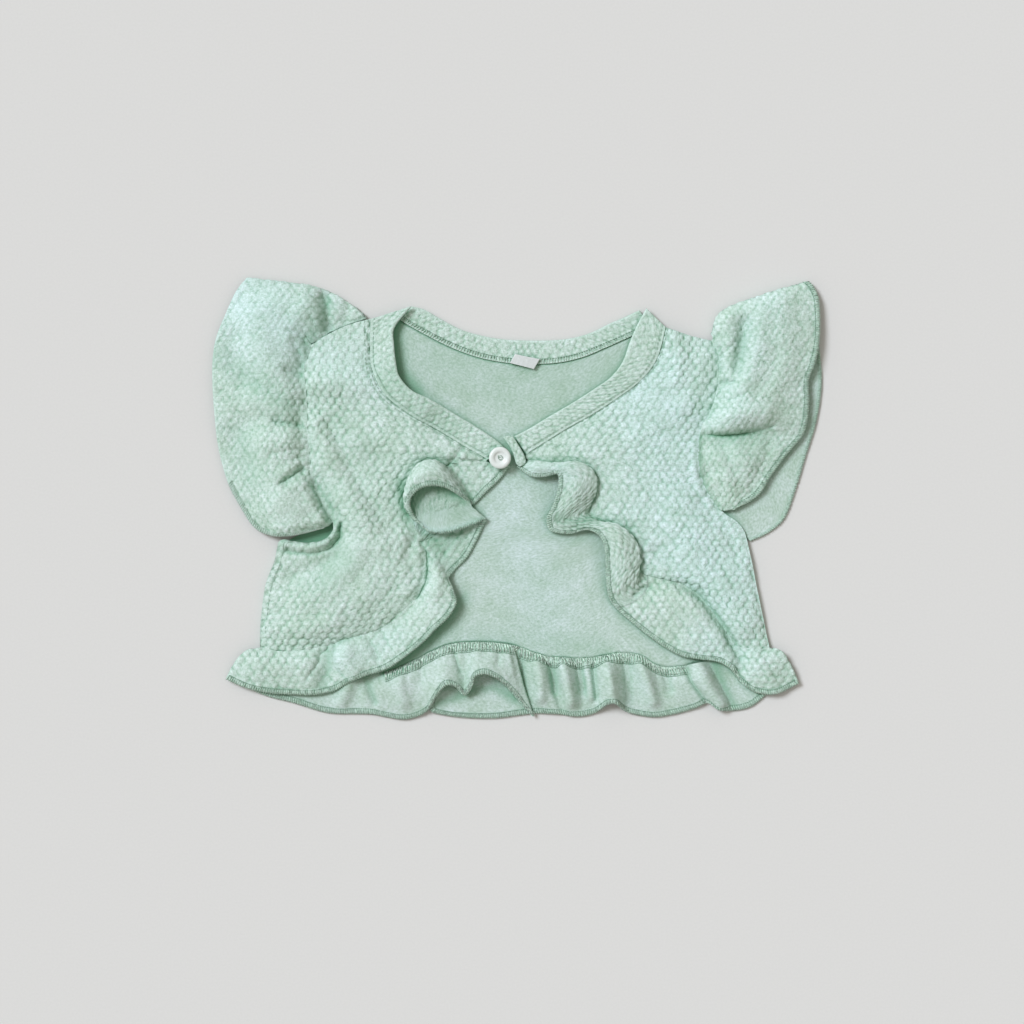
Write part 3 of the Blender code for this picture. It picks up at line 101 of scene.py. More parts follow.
FRONT_LEFT = [
    (-103.5, 77, 2.4, -73.2, 90.2, 3, 2.2, 0.3),  # shoulder seam
    (-106, 68, 3, -73.3, 78, 3.2, 0, 1),
    (-106, 56, 3.2, -72.4, 65.5, 3.4, 0, 1.6),
    (-105.2, 44, 3.2, -66.5, 53.4, 3.6, 0, 2),
    (-104.8, 33, 3.2, -54, 43.3, 3.6, 1, 2.2),
    (-104.3, 23, 3.2, -40, 35.2, 3.4, 3, 2.4),
    (-103.2, 13, 3.2, -26, 26.6, 3.2, 6, 2.4),
    (-100.5, 4, 3.2, -15.2, 19.8, 3, 9, 2.4),  # foot of the neck seam
    (-97.2, -3, 3.2, -24, 19.6, 3, 9, 2.4),
    (-94.4, -8.6, 3.2, -33.5, 17.4, 3, 7.5, 2.4),
    (-91.8, -12.8, 3.2, -43, 12.6, 3, 5, 2.4),  # end of the sleeve's seam
    (-92.7, -17.2, 3.2, -50.5, 5.5, 3, 3, 2),
    (-97, -20.9, 3.2, -53.4, -2.5, 3, 1, 2),  # underarm
    (-103.6, -22.4, 3, -53, -9.5, 3, -1, 2),
    (-110.6, -21.9, 2.8, -50.4, -15.6, 3, -3, 2.2),
    (-118.2, -20.8, 2.5, -47.6, -21.5, 3, -5, 2.6),
    (-121.5, -31, 2.3, -46.4, -28.5, 3, -5, 3),  # side seam
    (-125.4, -41, 2.2, -46.8, -38, 3, -4, 3.2),
    (-127.2, -51, 2.2, -50.5, -48.6, 3, -3, 3.2),
    (-128, -59, 2.2, -57.5, -56.6, 3, -3, 3),
    (-128.4, -65.5, 2.2, -67, -64, 3, -2, 2.2),
    (-128.6, -70.5, 2.2, -82, -69, 3, -1.5, 1.2),
    (-128.7, -74.2, 2.4, -99, -73.6, 2.8, -2.4, 0.4),  # hem seam
]
LEFT_NECK_ROWS = (0, 7)         # rows whose inner ends are on the neck seam
LEFT_ARMHOLE_ROWS = (0, 10)     # rows whose outer ends are on the sleeve's seam

FRONT_LEFT_FOLDS = [
    (11, 1.4, -100, 33, -74, -22),
    (6, -1.2, -95, 11, -80, -18),
    (6, -0.8, -94, -30, -100, -42),
]

FRONT_RIGHT = [
    (97.5, 79.3, 2.6, 74, 86.2, 2.8, -0.7, 0.2),  # shoulder seam
    (100.6, 73, 3, 72.3, 79, 3, 0, 0.8),
    (101, 63, 3.2, 69, 69.5, 3, 0, 1.4),
    (99.6, 53, 3.2, 61.5, 59.8, 3, 0, 1.6),
    (96.6, 43.5, 3.2, 50, 51, 3, 0, 1.8),
    (92, 35.5, 3.2, 38, 43.2, 3, 1, 2),
    (90.6, 27, 3.2, 26, 36.4, 3, 2, 2.2),
    (90.4, 18.5, 3.2, 14, 29, 3, 3, 2.4),
    (92, 11, 3.2, 4.2, 21.6, 3, 5, 2.4),  # foot of the neck seam
    (94.8, 4.4, 3.2, 14, 17.6, 3, 6, 2.4),
    (98, -0.8, 3.2, 24, 15.2, 3, 5.5, 2.4),
    (101.6, -5.4, 3.2, 31, 9, 3, 4, 2.4),  # end of the sleeve's seam
    (105.6, -8.8, 3, 33.6, 1, 3, 3, 2.4),
    (109.6, -11.4, 2.8, 35.4, -6.5, 3, 1, 2.4),  # underarm
    (113.2, -16, 2.6, 43, -12, 3, -1, 2.6),
    (115, -22.5, 2.4, 49.6, -18, 3, -1, 2.8),
    (116.8, -31, 2.2, 53.6, -26, 3, -1.5, 2.8),  # side seam
    (118.2, -38, 2.2, 56.4, -32.4, 3, -1, 2.8),
    (119.6, -45, 2.2, 62.5, -37.4, 3, 1.5, 2.6),
    (121, -52, 2.2, 71, -39.2, 3, 2, 2.4),
    (122.2, -58, 2.2, 79.5, -41.4, 3, 2.5, 2.2),
    (123.4, -63.4, 2.2, 88, -46, 3, 2, 1.8),
    (124.4, -68, 2.2, 95.2, -53.4, 3, 1, 1.4),
    (125.2, -71.4, 2.2, 101.6, -62.6, 3, 0, 1),
    (125.9, -74.4, 2.4, 108.6, -72.6, 2.8, -1.2, 0.3),  # hem seam
]
RIGHT_NECK_ROWS = (0, 8)
RIGHT_ARMHOLE_ROWS = (0, 11)

FRONT_RIGHT_FOLDS = [
    (6, -0.7, 92, -48, 107, -74),
    (7, 0.6, 112, -28, 120, -62),
]

# The back is a patch between four edges, on the table.
BACK_TOP = [(-97, 80), (-80, 86), (-61, 90.5), (-55, 87.4), (-47, 83), (-33, 76), (-19, 71), (-5, 68.4),
            (8, 67.8), (21, 68.6), (33, 71.4), (45, 76.4), (54, 80.4), (62, 84), (68, 86), (82, 82),
            (97, 77)]
BACK_BOTTOM = [(-128.5, -74), (-115, -78.5), (-100, -82), (-85, -85.5), (-72, -87), (-63, -85.6),
               (-53, -81.2), (-43.8, -76.6), (-32.8, -72.4), (-22, -71.6), (-7.8, -72.2), (0, -73.5),
               (7.8, -76.6), (15, -78.6), (30.8, -79.6), (46, -78), (51, -76.8), (61, -78), (69, -82.6),
               (78, -84), (91, -81.6), (105, -79.4), (118, -77), (126, -74)]
BACK_LEFT = [(-97, 80), (-101, 70), (-100.4, 50), (-98, 30), (-96, 12), (-95.4, -4), (-101, -13.5),
             (-111, -18.5), (-118, -23), (-123.4, -36), (-127, -50), (-128.3, -62), (-128.5, -74)]
BACK_RIGHT = [(97, 77), (99.6, 66), (98, 50), (93, 35), (90.4, 20), (92.6, 6), (99.6, -5), (107.6, -11),
              (112.6, -18), (115.4, -28), (118, -39), (121, -53), (124, -66), (126, -74)]
BACK_ARMHOLE_SHARE = 0.50       # how far down a side edge the armhole reaches, as a share of its length

SLEEVE_LEFT_SHOULDER = [(-104, 78.2, 2.7), (-100, 79.9, 2.6), (-90, 85.7, 1.9), (-81, 89.1, 1.6),
                        (-75.5, 90.9, 1.3)]
SLEEVE_LEFT_BACK = [(-78, 89.6, 0.6), (-88, 85.4, 0.6), (-99, 81.4, 0.6)]

SLEEVE_LEFT = [
    (-92.6, -11.6, 3.2, -94, -12.8, 3.4, -95.6, -13.2, 3.2, -97.4, -13.8, 3),
    (-94.8, -8, 3.2, -99, -9.6, 5, -102.4, -12.4, 4.8, -106, -16.4, 3.4),
    (-97.6, -2.4, 3.2, -104, -3.6, 7.5, -110.5, -9.5, 7.5, -115, -18, 3.4),
    (-100.6, 4, 3.2, -109, 2.5, 9, -119, -5, 9, -123.6, -17.8, 3.2),
    (-102.8, 10.6, 3.2, -112, 9, 9.4, -125, 1, 9, -131.4, -14, 3),
    (-103.8, 17, 3.2, -114, 17.5, 9, -129, 12, 8.5, -139.4, -2, 3),
    (-104.4, 24.5, 3.2, -115, 26, 9, -131, 24, 8, -145.2, 9.5, 3),
    (-104.8, 34, 3.2, -116, 36, 8.5, -132, 36, 7.5, -149.6, 26, 3),
    (-105.2, 44, 3.2, -117, 47, 9, -133, 48, 7.5, -151.4, 42, 3),
    (-105.9, 54, 3.2, -118, 58, 8.5, -134, 60, 7.5, -152.4, 57, 3),
    (-106.1, 64, 3.2, -118, 69, 8, -134.4, 71, 7.5, -152.4, 70, 3),
    (-105.2, 71, 3, -116, 78.5, 7.5, -133, 82, 8, -150.6, 81, 3),
    (-103.6, 76.6, 2.8, -112.6, 88, 8, -129, 93, 8.5, -146.4, 91.6, 3),
    (-100, 79.8, 2.6, -106, 93, 8.5, -120, 100.6, 8, -141.8, 102, 3),
    (-96, 82.4, 2.3, -99.6, 95, 7, -112, 103.6, 6.5, -138.4, 107.4, 2.8),
    (-90, 85.8, 1.9, -90, 93, 3, -104, 104.4, 4.4, -136.6, 109.4, 2.6),
    (-81, 89.1, 1.6, -83, 94.6, 2, -99, 104.8, 2.8, -136, 110.2, 2.2),
    (-75.5, 90.9, 1.3, -81.5, 96, 1.4, -99, 105.4, 1.5, -135.9, 110.6, 1.4),  # fold
    (-78, 89.6, 0.6, -85, 93.6, 0.6, -101.5, 102.6, 0.6, -136.6, 107.6, 0.6),  # back layer
    (-88, 85.4, 0.6, -98, 92.6, 0.6, -116, 97, 0.6, -140, 99, 0.6),
    (-99, 81.4, 0.6, -110, 84.6, 0.6, -127, 87, 0.6, -145, 87, 0.6),
    (-102, 62, 0.6, -116, 66, 0.6, -132, 68, 0.6, -148.6, 66, 0.6),
    (-101.2, 44, 0.6, -115, 45, 0.6, -131, 45, 0.6, -147.8, 44, 0.6),
    (-99, 26, 0.6, -113, 26, 0.6, -129, 25.6, 0.6, -144.4, 25, 0.6),
    (-97.4, 10, 0.6, -110, 8.6, 0.6, -124, 6.6, 0.6, -137.4, 4, 0.6),
    (-97, -4, 0.6, -106, -6, 0.6, -117, -9, 0.6, -126.6, -12, 0.6),
    (-102, -12.6, 0.6, -106, -12.6, 0.6, -111, -13.6, 0.6, -117, -15.4, 0.6),
]
SLEEVE_LEFT_FOLDS = [
    (6, -2.2, -142, 80, -137, 60),
    (8, -1.6, -138, 38, -134, 18),
    (2.6, -2.6, -116, 9, -108, 15),
    (3.2, -1.6, -119, 38, -110, 37),
    (3, -1.4, -114, 64, -109, 62),
]

SLEEVE_RIGHT_SHOULDER = [(98.6, 80, 3), (97.9, 81.8, 2.6), (97.4, 82.8, 1.5)]
SLEEVE_RIGHT_BACK = [(98.6, 81.2, 0.6), (100, 77, 0.6)]

SLEEVE_RIGHT = [
    (101.4, -5.4, 3.2, 103.4, -5.6, 3.4, 105.6, -5.2, 3.4, 108.4, -4.4, 3),
    (98.6, -1.6, 3.2, 103, 0.6, 4, 109, 1, 4, 115, -1.4, 3.2),
    (95, 4.4, 3.2, 101, 8.4, 5, 110, 8.6, 6, 121, 3, 3.4),
    (92, 11, 3.2, 99, 16.4, 5, 112, 16.6, 7, 127, 12.4, 3.6),
    (90.6, 18.5, 3.2, 98, 23.6, 5, 115, 24.2, 7.2, 133.4, 21.2, 3.8),
    (90.5, 26, 3.2, 99, 28.6, 4.6, 118, 29.4, 6.4, 138.6, 27.4, 3.8),
    (91.4, 32, 3.2, 100, 31.6, 5, 119.5, 32.8, 6, 142, 31.4, 3.8),
    (94, 38.6, 3.2, 102, 35.4, 9.8, 121, 38.4, 9.6, 144.4, 38.4, 4.4),
    (97, 45, 3.2, 106, 45, 11, 123, 49, 10.6, 145.4, 48, 4.8),
    (99.4, 53, 3.2, 109, 56, 10.5, 126, 60, 9.6, 145.4, 60, 5),
    (100.8, 62, 3.2, 108, 66, 9, 128, 70, 8.6, 148.6, 68.6, 5),
    (100.9, 70, 3, 107, 76, 8, 129, 81, 8, 150.6, 79, 4.6),
    (100, 75.6, 2.8, 105, 84, 8, 128, 92, 7.6, 151, 91, 4),
    (98.6, 80, 3, 102.6, 89.6, 7, 127, 99.4, 6, 150.2, 101.6, 3.2),
    (97.9, 81.8, 2.6, 101.4, 91.6, 4.4, 124, 101.6, 4, 147.4, 107.4, 2.4),
    (97.4, 82.8, 1.5, 101, 92.6, 1.6, 123, 102.2, 1.5, 145.4, 109, 1.4),  # fold
    (98.6, 81.2, 0.6, 104, 89.5, 0.6, 124, 99.2, 0.6, 146.6, 105.4, 0.6),  # back layer
    (100.9, 70, 0.6, 111, 77, 0.6, 128, 86, 0.6, 149.2, 90, 0.6),
    (99.8, 57, 0.6, 113, 64, 0.6, 132, 71, 0.6, 151.4, 73, 0.6),
    (96, 42.5, 0.6, 111, 47, 0.6, 132, 54, 0.6, 152.2, 57, 0.6),
    (92.6, 31, 0.6, 108, 32.6, 0.6, 130, 37, 0.6, 149.6, 39, 0.6),
    (91.2, 18, 0.6, 106, 18, 0.6, 126, 20, 0.6, 144.2, 21.6, 0.6),
    (93.6, 6, 0.6, 107, 5, 0.6, 124, 5, 0.6, 139.2, 5, 0.6),
    (100.6, -4.2, 0.6, 111, -5, 0.6, 123, -7, 0.6, 133.2, -10, 0.6),
    (108.4, -10.6, 0.6, 113.4, -11.6, 0.6, 119, -13.6, 0.6, 125.2, -16.8, 0.6),
    (112.8, -16.6, 0.6, 113.6, -18, 0.6, 115, -19.4, 0.6, 116.6, -20.8, 0.6),
]
SLEEVE_RIGHT_FOLDS = [
    (3.6, -3, 113, 88, 110, 64),
    (2.4, -1.4, 102, 58, 108, 58),
    (4, 0.8, 100, 22, 112, 4),
]

RUFFLE_LEFT = [
    (-16.5, 19.2, 3, -12, 17.8, 2.8, -8, 17.2, 2.6, -4.2, 16.8, 2.4),
    (-20, 19.4, 3, -15.5, 16, 2.8, -11.5, 13.6, 2.6, -7.6, 11.6, 2.3),
    (-26, 19.4, 3, -22.5, 13.5, 2.8, -19, 9, 2.6, -15, 4.4, 2.3),
    (-31.5, 18.2, 3, -29.5, 10.5, 3, -26, 4, 2.6, -22.4, -2.6, 2.3),
    (-36.5, 16.2, 4.2, -35.6, 15.8, 6.6, -31, 9, 7.5, -26.6, 0.6, 6.6),  # flute's roof
    (-42, 13.2, 4.8, -42, 19.4, 8, -38.5, 14.5, 13, -35.6, 5.8, 11.5),
    (-47, 9.4, 4.8, -49, 17.6, 8, -46, 13.4, 14.5, -43.2, 6.8, 13),
    (-50.6, 4.8, 4.8, -54.4, 10.5, 8, -51.8, 9, 13.5, -49.4, 4.8, 12.5),
    (-53, -1, 4.8, -56.2, 1, 7.5, -55.4, 1.2, 11, -53.4, -0.6, 10),
    (-53.2, -6.6, 4.8, -55, -5.8, 5.8, -54.4, -5.8, 7.6, -52.4, -6.4, 7),
    (-52.2, -11, 3, -51.6, -9.8, 4, -50.2, -10.4, 4.8, -48.6, -11.8, 5),
    # five rows of the flute's floor, which turns under its roof, in place of the solid's
    (-51.2, -13.4, 3, -53.8, -1.5, 5.4, -50.6, -7, 4.2, -44.6, -15.8, 5.6),
    (-50.4, -14.8, 3, -49, 6, 6.6, -44, -4, 4.2, -37.6, -16.8, 6.4),
    (-49.6, -16.2, 3, -40, 11, 7.2, -35.6, -1.5, 4.4, -29.8, -15.4, 6.2),
    (-48.9, -17.6, 3, -31, 7, 6.4, -27.6, -2.4, 4.2, -22.6, -12.6, 5.2),
    (-48.2, -19.4, 3, -26, -1, 4.8, -21.4, -5.2, 4, -16, -10, 3.9),
    (-47.5, -21.4, 2.6, -35, -14.4, 2.4, -25.5, -12.6, 2.3, -17, -12.6, 2.4),
    (-46.9, -24, 2.8, -37, -20, 2.3, -28, -19, 2.2, -20, -19.6, 2.2),
    (-46.5, -26.6, 3, -38.6, -25.6, 2.6, -31.8, -26.4, 2.2, -25, -28.6, 2.2),
    (-46.4, -29, 3, -40.8, -30.6, 3.4, -36.4, -33, 2.8, -32, -36, 2.3),
    (-46.4, -32, 3, -42, -32.4, 5.8, -38.4, -35.6, 6.4, -34.6, -39.4, 5.2),  # 2nd wave
    (-46.7, -37, 3, -41.6, -38.8, 6.4, -36.6, -42.6, 7.2, -31.8, -46, 6.4),
    (-48.2, -43, 3, -43, -45.4, 6.2, -37, -49.2, 7.2, -30.5, -51.4, 6.6),
    (-51, -49, 3, -46.2, -51.4, 5.6, -40.4, -55.6, 6.6, -34, -58, 6.4),
    (-55.4, -54.4, 3, -50.8, -57.4, 5.2, -45.8, -61.8, 6.2, -40.6, -64.4, 6.2),
    (-61.2, -60, 3, -56.8, -63.9, 5, -51.8, -68.2, 6, -47, -71, 6.2),
    (-67.4, -64.2, 3, -63.2, -69.2, 5.2, -59.2, -74.2, 6, -55, -77.6, 6),
    (-74.4, -67, 3, -71.7, -72.7, 4.6, -68.6, -78.6, 5.2, -65.2, -84.6, 5.2),
    (-82.4, -69.4, 3, -80.6, -75.2, 5.8, -78, -81.5, 5.8, -75.4, -87.8, 4.8),
    (-90.4, -71.6, 3, -89, -77.2, 5.6, -86.6, -84, 5.2, -83.4, -91, 3.8),
    (-97, -73.4, 2.8, -97, -79.2, 3.2, -94.8, -87, 3, -92, -95.8, 2.6),  # trough
    (-103, -75, 2.8, -105, -80.7, 6, -104.5, -88.6, 5.4, -102, -97.6, 3),
    (-110, -76.2, 2.8, -113, -81.7, 5.6, -114, -89, 5, -113.4, -97.4, 2.8),
    (-117, -76.4, 2.6, -120.6, -81.7, 5.4, -122.6, -88, 5, -124.4, -96.6, 2.8),
    (-123.4, -75.8, 2.6, -128.4, -79.7, 5, -132, -85.6, 4.6, -135.6, -94.2, 2.7),
    (-128.4, -74.8, 2.6, -135.6, -75.4, 3.4, -141, -80.8, 3, -146, -89.8, 2.6),
]

RUFFLE_RIGHT = [
    (5.6, 20, 3, 3.4, 18.4, 3, 1.6, 17.4, 2.9, -0.4, 16.4, 2.6),
    (9, 18.8, 4.2, 8, 18.9, 6, 7.6, 16.3, 7.2, 6.8, 11.8, 4.5),
    (15, 17.4, 4.2, 14.8, 18.2, 6.6, 14.2, 15.8, 8, 13.2, 11.4, 5.4),
    (20.4, 16.2, 4.2, 20.6, 18, 7.2, 19.6, 15.8, 8.8, 18, 12.6, 7),
    (26.2, 14.2, 4.8, 29.6, 18.6, 8, 25, 16.2, 11, 20.2, 12.2, 8.6),  # first lobe
    (30.2, 10.2, 4.8, 37.2, 14.4, 7.4, 29.6, 11, 11.2, 20.4, 7.6, 8.2),
    (32.6, 4.4, 4.8, 39.4, 8, 6.8, 30, 4.6, 10.6, 19.4, 2, 7),
    (33.8, -0.6, 4.8, 38.4, 2, 6.2, 28, -1.6, 9, 17, -4.4, 6),
    (34.8, -4.2, 4.2, 36.2, -2.8, 5.6, 26, -5.8, 7.6, 14.6, -9.4, 5.2),
    (37, -7.8, 3.9, 34.4, -8.2, 5, 25, -10.4, 5.6, 16, -15.2, 3.8),  # lobe's turn
    (40.4, -10.4, 3, 37.6, -10.4, 5.4, 31, -11.6, 5.8, 25, -17, 3.4),
    (44.2, -13, 4.2, 42.5, -11.6, 6.5, 38.5, -12, 7.2, 34, -15, 5),
    (47.6, -16.2, 4.8, 49.8, -12.8, 8, 45, -14, 10, 40.3, -17.6, 7.4),  # second lobe
    (50.4, -20.2, 4.8, 56.2, -17.6, 8, 50, -19.6, 11, 43.2, -22.7, 7.6),
    (52.8, -25.2, 4.8, 60.2, -24, 7.2, 52.6, -26.2, 10.5, 44, -30, 7),
    (54.8, -30.2, 4.8, 61.4, -31, 6.8, 53.2, -34, 9.5, 44.2, -38, 6),
    (57.2, -34.4, 4.2, 60.2, -37.6, 6.2, 53.2, -41, 8, 44.8, -45, 4.6),
    (60.4, -37.2, 3, 59.8, -43.4, 5, 53.8, -47, 5.4, 46.2, -50.2, 3),
    (65.2, -39, 3, 64.5, -45.4, 4.6, 58, -51.5, 4.5, 49.7, -54.8, 2.6),  # broad wave
    (71.6, -40.2, 3, 70, -47.2, 6, 64, -55, 5.5, 56.2, -60.6, 2.6),
    (79, -42.4, 3, 76, -49.8, 7, 70.5, -58.7, 6, 63.8, -66.9, 2.8),
    (86.5, -46.2, 3, 83, -53.3, 7, 78, -62.7, 6, 72.2, -73, 2.8),
    (93, -52, 3, 90, -58.8, 6.5, 86, -68.2, 6, 81.5, -78, 3),
    (98.6, -59.6, 3, 96.3, -65.4, 6, 94, -72.6, 5.5, 91.5, -79.9, 3.2),
    (103.4, -67.2, 3, 102.6, -71, 5.2, 101.5, -75.8, 5, 100, -81, 3.6),
    (108, -73.2, 2.8, 108.8, -76.4, 4.2, 108.4, -80.2, 4.8, 106.2, -84.6, 4),
    (112, -74.6, 2.8, 112.8, -79, 3.8, 112.7, -84.5, 4, 111, -90.6, 3.2),
    (116.2, -75.4, 2.8, 117.6, -80.6, 4.6, 118.4, -87.5, 5, 118.4, -96, 3),
    (121, -75.4, 2.8, 123.8, -80.4, 5, 126.6, -87.6, 5, 128.6, -97.2, 2.8),
    (125.6, -75.2, 2.7, 131.8, -75.6, 3.4, 136.8, -83, 3.2, 140.8, -92, 2.6),
]

RUFFLE_BACK = [
    (-128, -75, 0.6, -133.5, -78.5, 0.6, -138, -84, 0.6, -142, -89.6, 0.6),
    (-118, -78.4, 0.6, -121, -84, 0.6, -125, -91, 0.6, -128.6, -97.2, 0.6),
    (-107, -81.4, 0.6, -109, -88, 0.6, -111, -95, 0.6, -112, -101.8, 0.6),
    (-95, -84.2, 0.6, -95.4, -91, 0.6, -95.6, -99, 0.6, -95.5, -106.6, 0.6),
    (-84, -86.6, 0.6, -83.4, -92, 0.6, -82.8, -99.6, 0.6, -82, -107.2, 0.6),
    (-75, -88, 0.6, -74.6, -93, 1.8, -74, -100, 1.8, -73, -107.4, 0.8),
    (-66, -87.4, 0.6, -66, -93.6, 3, -66, -100.6, 2.4, -65, -108.9, 0.7),
    (-57.5, -84.6, 0.8, -58, -90.4, 4.2, -58, -99, 3.4, -57.5, -110, 0.8),
    (-51, -81, 0.8, -50.6, -88.4, 3.6, -50.4, -98, 3.2, -50.8, -108.8, 0.9),
    (-45.6, -78, 1, -45.8, -86, 4.2, -45.2, -96, 4.6, -44.8, -105.4, 2.6),
    (-41, -76, 1.4, -41.6, -84, 5.4, -41.6, -92, 6.6, -41.4, -99.4, 6.2),
    (-36.4, -74.2, 1.6, -37, -81, 6.2, -36.8, -87.6, 8.2, -35.6, -92.6, 8.8),  # arch
    (-31.8, -73.2, 1.6, -32, -80.4, 5.6, -31.4, -87.8, 6.8, -30.4, -93.8, 6.8),
    (-27.4, -72.8, 1.6, -27.2, -81, 4.6, -26.8, -90, 4.8, -26.4, -97.8, 4.6),
    (-24.2, -72.6, 1.8, -23.9, -80.4, 5.6, -23.9, -88, 7, -23.5, -94.4, 7),
    (-21.4, -72.5, 2, -21, -78.8, 7, -21.4, -84.6, 9.2, -21.8, -88.8, 9.6),
    (-17.8, -72.5, 2.2, -17.2, -78.6, 7.2, -17, -83.2, 9.8, -17, -86.8, 10.4),  # arch
    (-12.4, -72.6, 2.2, -11.2, -79.2, 6.8, -10.2, -84.8, 8.6, -9.4, -89.6, 8.8),
    (-7.4, -73, 2.2, -5.2, -80.6, 6, -3.6, -88.4, 7, -2.2, -96, 6.4),
    (-3.6, -74.2, 2.4, -1.4, -83, 4.8, 0.8, -92.6, 4.8, 3.4, -102.8, 3.5),
    (-2.8, -74.6, 2.2, 0.2, -83.4, 3.9, 3.2, -94.4, 3.5, 7.8, -108.2, 2.3),  # fold
    (-2.4, -74.8, 1.9, -0.8, -83.4, 2.8, 1, -93, 2.5, 3.8, -104.4, 1.9),
    (-2, -74.9, 1.8, -6, -82, 2.3, -9, -86.4, 2.3, -11, -89.4, 2.3),
    (-1.6, -75, 1.8, -12, -80.6, 2.2, -20, -83.6, 2.2, -26, -87, 2.2),
    (-1.2, -75.1, 1.7, -18, -81, 2.1, -31, -86.4, 2.1, -39.6, -96.4, 2.1),
    (-0.8, -75.2, 1.4, -17, -84.6, 1.4, -31, -94, 1.4, -43.6, -105.4, 1.4),  # fold
    (-0.4, -75.4, 0.9, -14, -87.4, 0.6, -27, -98, 0.6, -38, -107.6, 0.6),
    (0, -75.6, 0.7, -8, -88, 0.6, -17, -98.8, 0.6, -25, -109.2, 0.6),
    (0.5, -75.8, 0.6, -3, -88, 0.6, -7.5, -98.6, 0.6, -11, -109.4, 0.6),
    (1.6, -76.2, 0.6, 1.4, -88, 0.6, 0.6, -98.4, 0.6, 0.4, -108, 0.6),
    (5.4, -77.2, 0.8, 6.6, -86.4, 3, 8, -97, 2.3, 9.4, -107, 0.8),
    (11.5, -78.6, 1, 13.5, -86, 4.4, 16.2, -96.6, 3.4, 20, -107.4, 0.9),
    (17, -79.6, 0.8, 18.4, -87, 1.6, 19.8, -97, 1.4, 22.4, -107.6, 0.7),
    (22, -80, 0.9, 23.6, -87, 5, 25.2, -97, 4, 27.2, -108.4, 1),
    (29.5, -80.2, 0.8, 31, -87, 1.8, 32, -97, 1.6, 33, -108.4, 0.7),
    (37, -79.8, 0.9, 38, -87, 2.8, 38.8, -97, 2.6, 39.2, -106.6, 1.2),
    (44.6, -78.8, 1, 45.6, -86, 7, 46.6, -94.6, 8, 47.4, -101.4, 6),  # arch
    (51, -77.4, 0.9, 52, -86, 3, 53, -96.6, 3, 54.6, -106.2, 1.4),
    (56.4, -77.8, 0.8, 57.6, -87, 1.4, 59, -98, 1.2, 61, -108, 0.7),
    (62.4, -79.4, 0.9, 63.8, -88, 4, 66, -98, 3, 69, -108.8, 0.8),
    (69, -83.2, 0.8, 71.4, -90, 1.8, 74.6, -98.6, 1.6, 78.6, -107.4, 0.8),
    (76.6, -84.6, 0.8, 79.6, -90, 3.4, 83.6, -97, 3, 88.4, -104.6, 1.2),
    (83.6, -84, 0.7, 87.6, -89, 4.6, 91.6, -95.4, 4.4, 96, -101.6, 2.6),
    (90.4, -82.4, 0.7, 93.8, -88.6, 3, 97, -96.6, 2.8, 100.4, -105, 1.4),
    (97.6, -81.2, 0.6, 101, -87.6, 0.8, 104.6, -96, 0.8, 108.4, -105.6, 0.6),
    (106.4, -79.8, 0.6, 109.4, -86, 0.6, 113, -94.4, 0.6, 117, -103.6, 0.6),
    (115.6, -78.2, 0.6, 119.6, -83.6, 0.6, 123.4, -90.6, 0.6, 126.6, -96.2, 0.6),
    (125, -75.4, 0.6, 129.4, -79, 0.6, 133, -84.5, 0.6, 136.4, -90, 0.6),
]

BAND_LEFT = [
    (-72.6, 91.2, 3, -53, 96.4, 4.2),
    (-73, 83, 3.2, -61.5, 85.5, 5.6),
    (-72.9, 75, 3.4, -61.6, 77, 6.4),
    (-72.2, 66.4, 3.6, -60.4, 67, 6.6),
    (-69, 57.6, 3.6, -59, 61.6, 6.4),
    (-62, 49.4, 3.6, -53, 54.6, 5.8),
    (-53, 43, 3.6, -43.6, 50, 4.8),
    (-40, 35.6, 3.4, -30, 42, 3.8),
    (-27, 27.6, 3.2, -17, 34, 3.4),
    (-15.4, 20.4, 3, -8.6, 28, 3.2),
    (-10.6, 19.6, 3, -5.6, 25, 3.2),
]
BAND_RIGHT = [
    (74.4, 87, 2.8, 64.4, 95.6, 2.6),
    (73, 80, 3, 60, 87.6, 3),
    (70.6, 73, 3, 56.2, 79, 3.2),
    (67, 66.4, 3, 52.6, 69, 3.2),
    (61.5, 60, 3, 47, 61.6, 3),
    (50.4, 51.6, 3, 37, 54.4, 2.9),
    (38.4, 43.8, 3, 26.6, 47.8, 2.8),
    (26.4, 37, 3, 15.6, 41.4, 2.8),
    (14.4, 29.6, 3, 6, 35.6, 2.8),
    (4.4, 22.4, 3, -1.6, 31.6, 2.8),
]
BAND_BACK = [
    (-60, 92, 0.9, -53.5, 96.8, 0.9),
    (-55, 88.9, 0.9, -47, 95.2, 0.9),
    (-47, 84.5, 0.9, -39.5, 91, 0.9),
    (-33, 77.5, 0.9, -28, 85, 0.9),
    (-19, 72.5, 0.9, -16, 81.6, 0.9),
    (-5, 69.9, 0.9, -4.6, 80, 0.9),
    (8, 69.3, 0.9, 9, 79.6, 0.9),
    (21.3, 70.1, 0.9, 21.3, 80, 0.9),
    (33, 72.9, 0.9, 30, 81.4, 0.9),
    (45, 77.9, 0.9, 38, 84, 0.9),
    (54, 81.9, 0.9, 46, 88, 0.9),
    (61, 85.3, 0.9, 53, 91, 0.9),
    (67, 88.2, 0.9, 61, 94.8, 0.9),
]

LOOP = [
    (-7.2, 31.2, 4.9, -2.6, 32, 4.9),
    (-4.6, 27.6, 5.1, -0.4, 28.6, 5.1),
    (-2.4, 23.6, 5.2, 1.8, 25, 5.2),
    (-1.4, 20.2, 5, 3.6, 21.6, 5),
    (-0.6, 17.9, 4.9, 4.2, 19.1, 4.9),
    (0.9, 16.6, 4.5, 3.8, 17.4, 4.5),
]
LABEL = [
    (-3.75, 68.25, 2.9, -1.25, 72.75, 3.1),
    (2.2, 66.8, 2.9, 5, 71.4, 3.1),
    (8.25, 65.25, 2.6, 11.25, 70.25, 3),
]

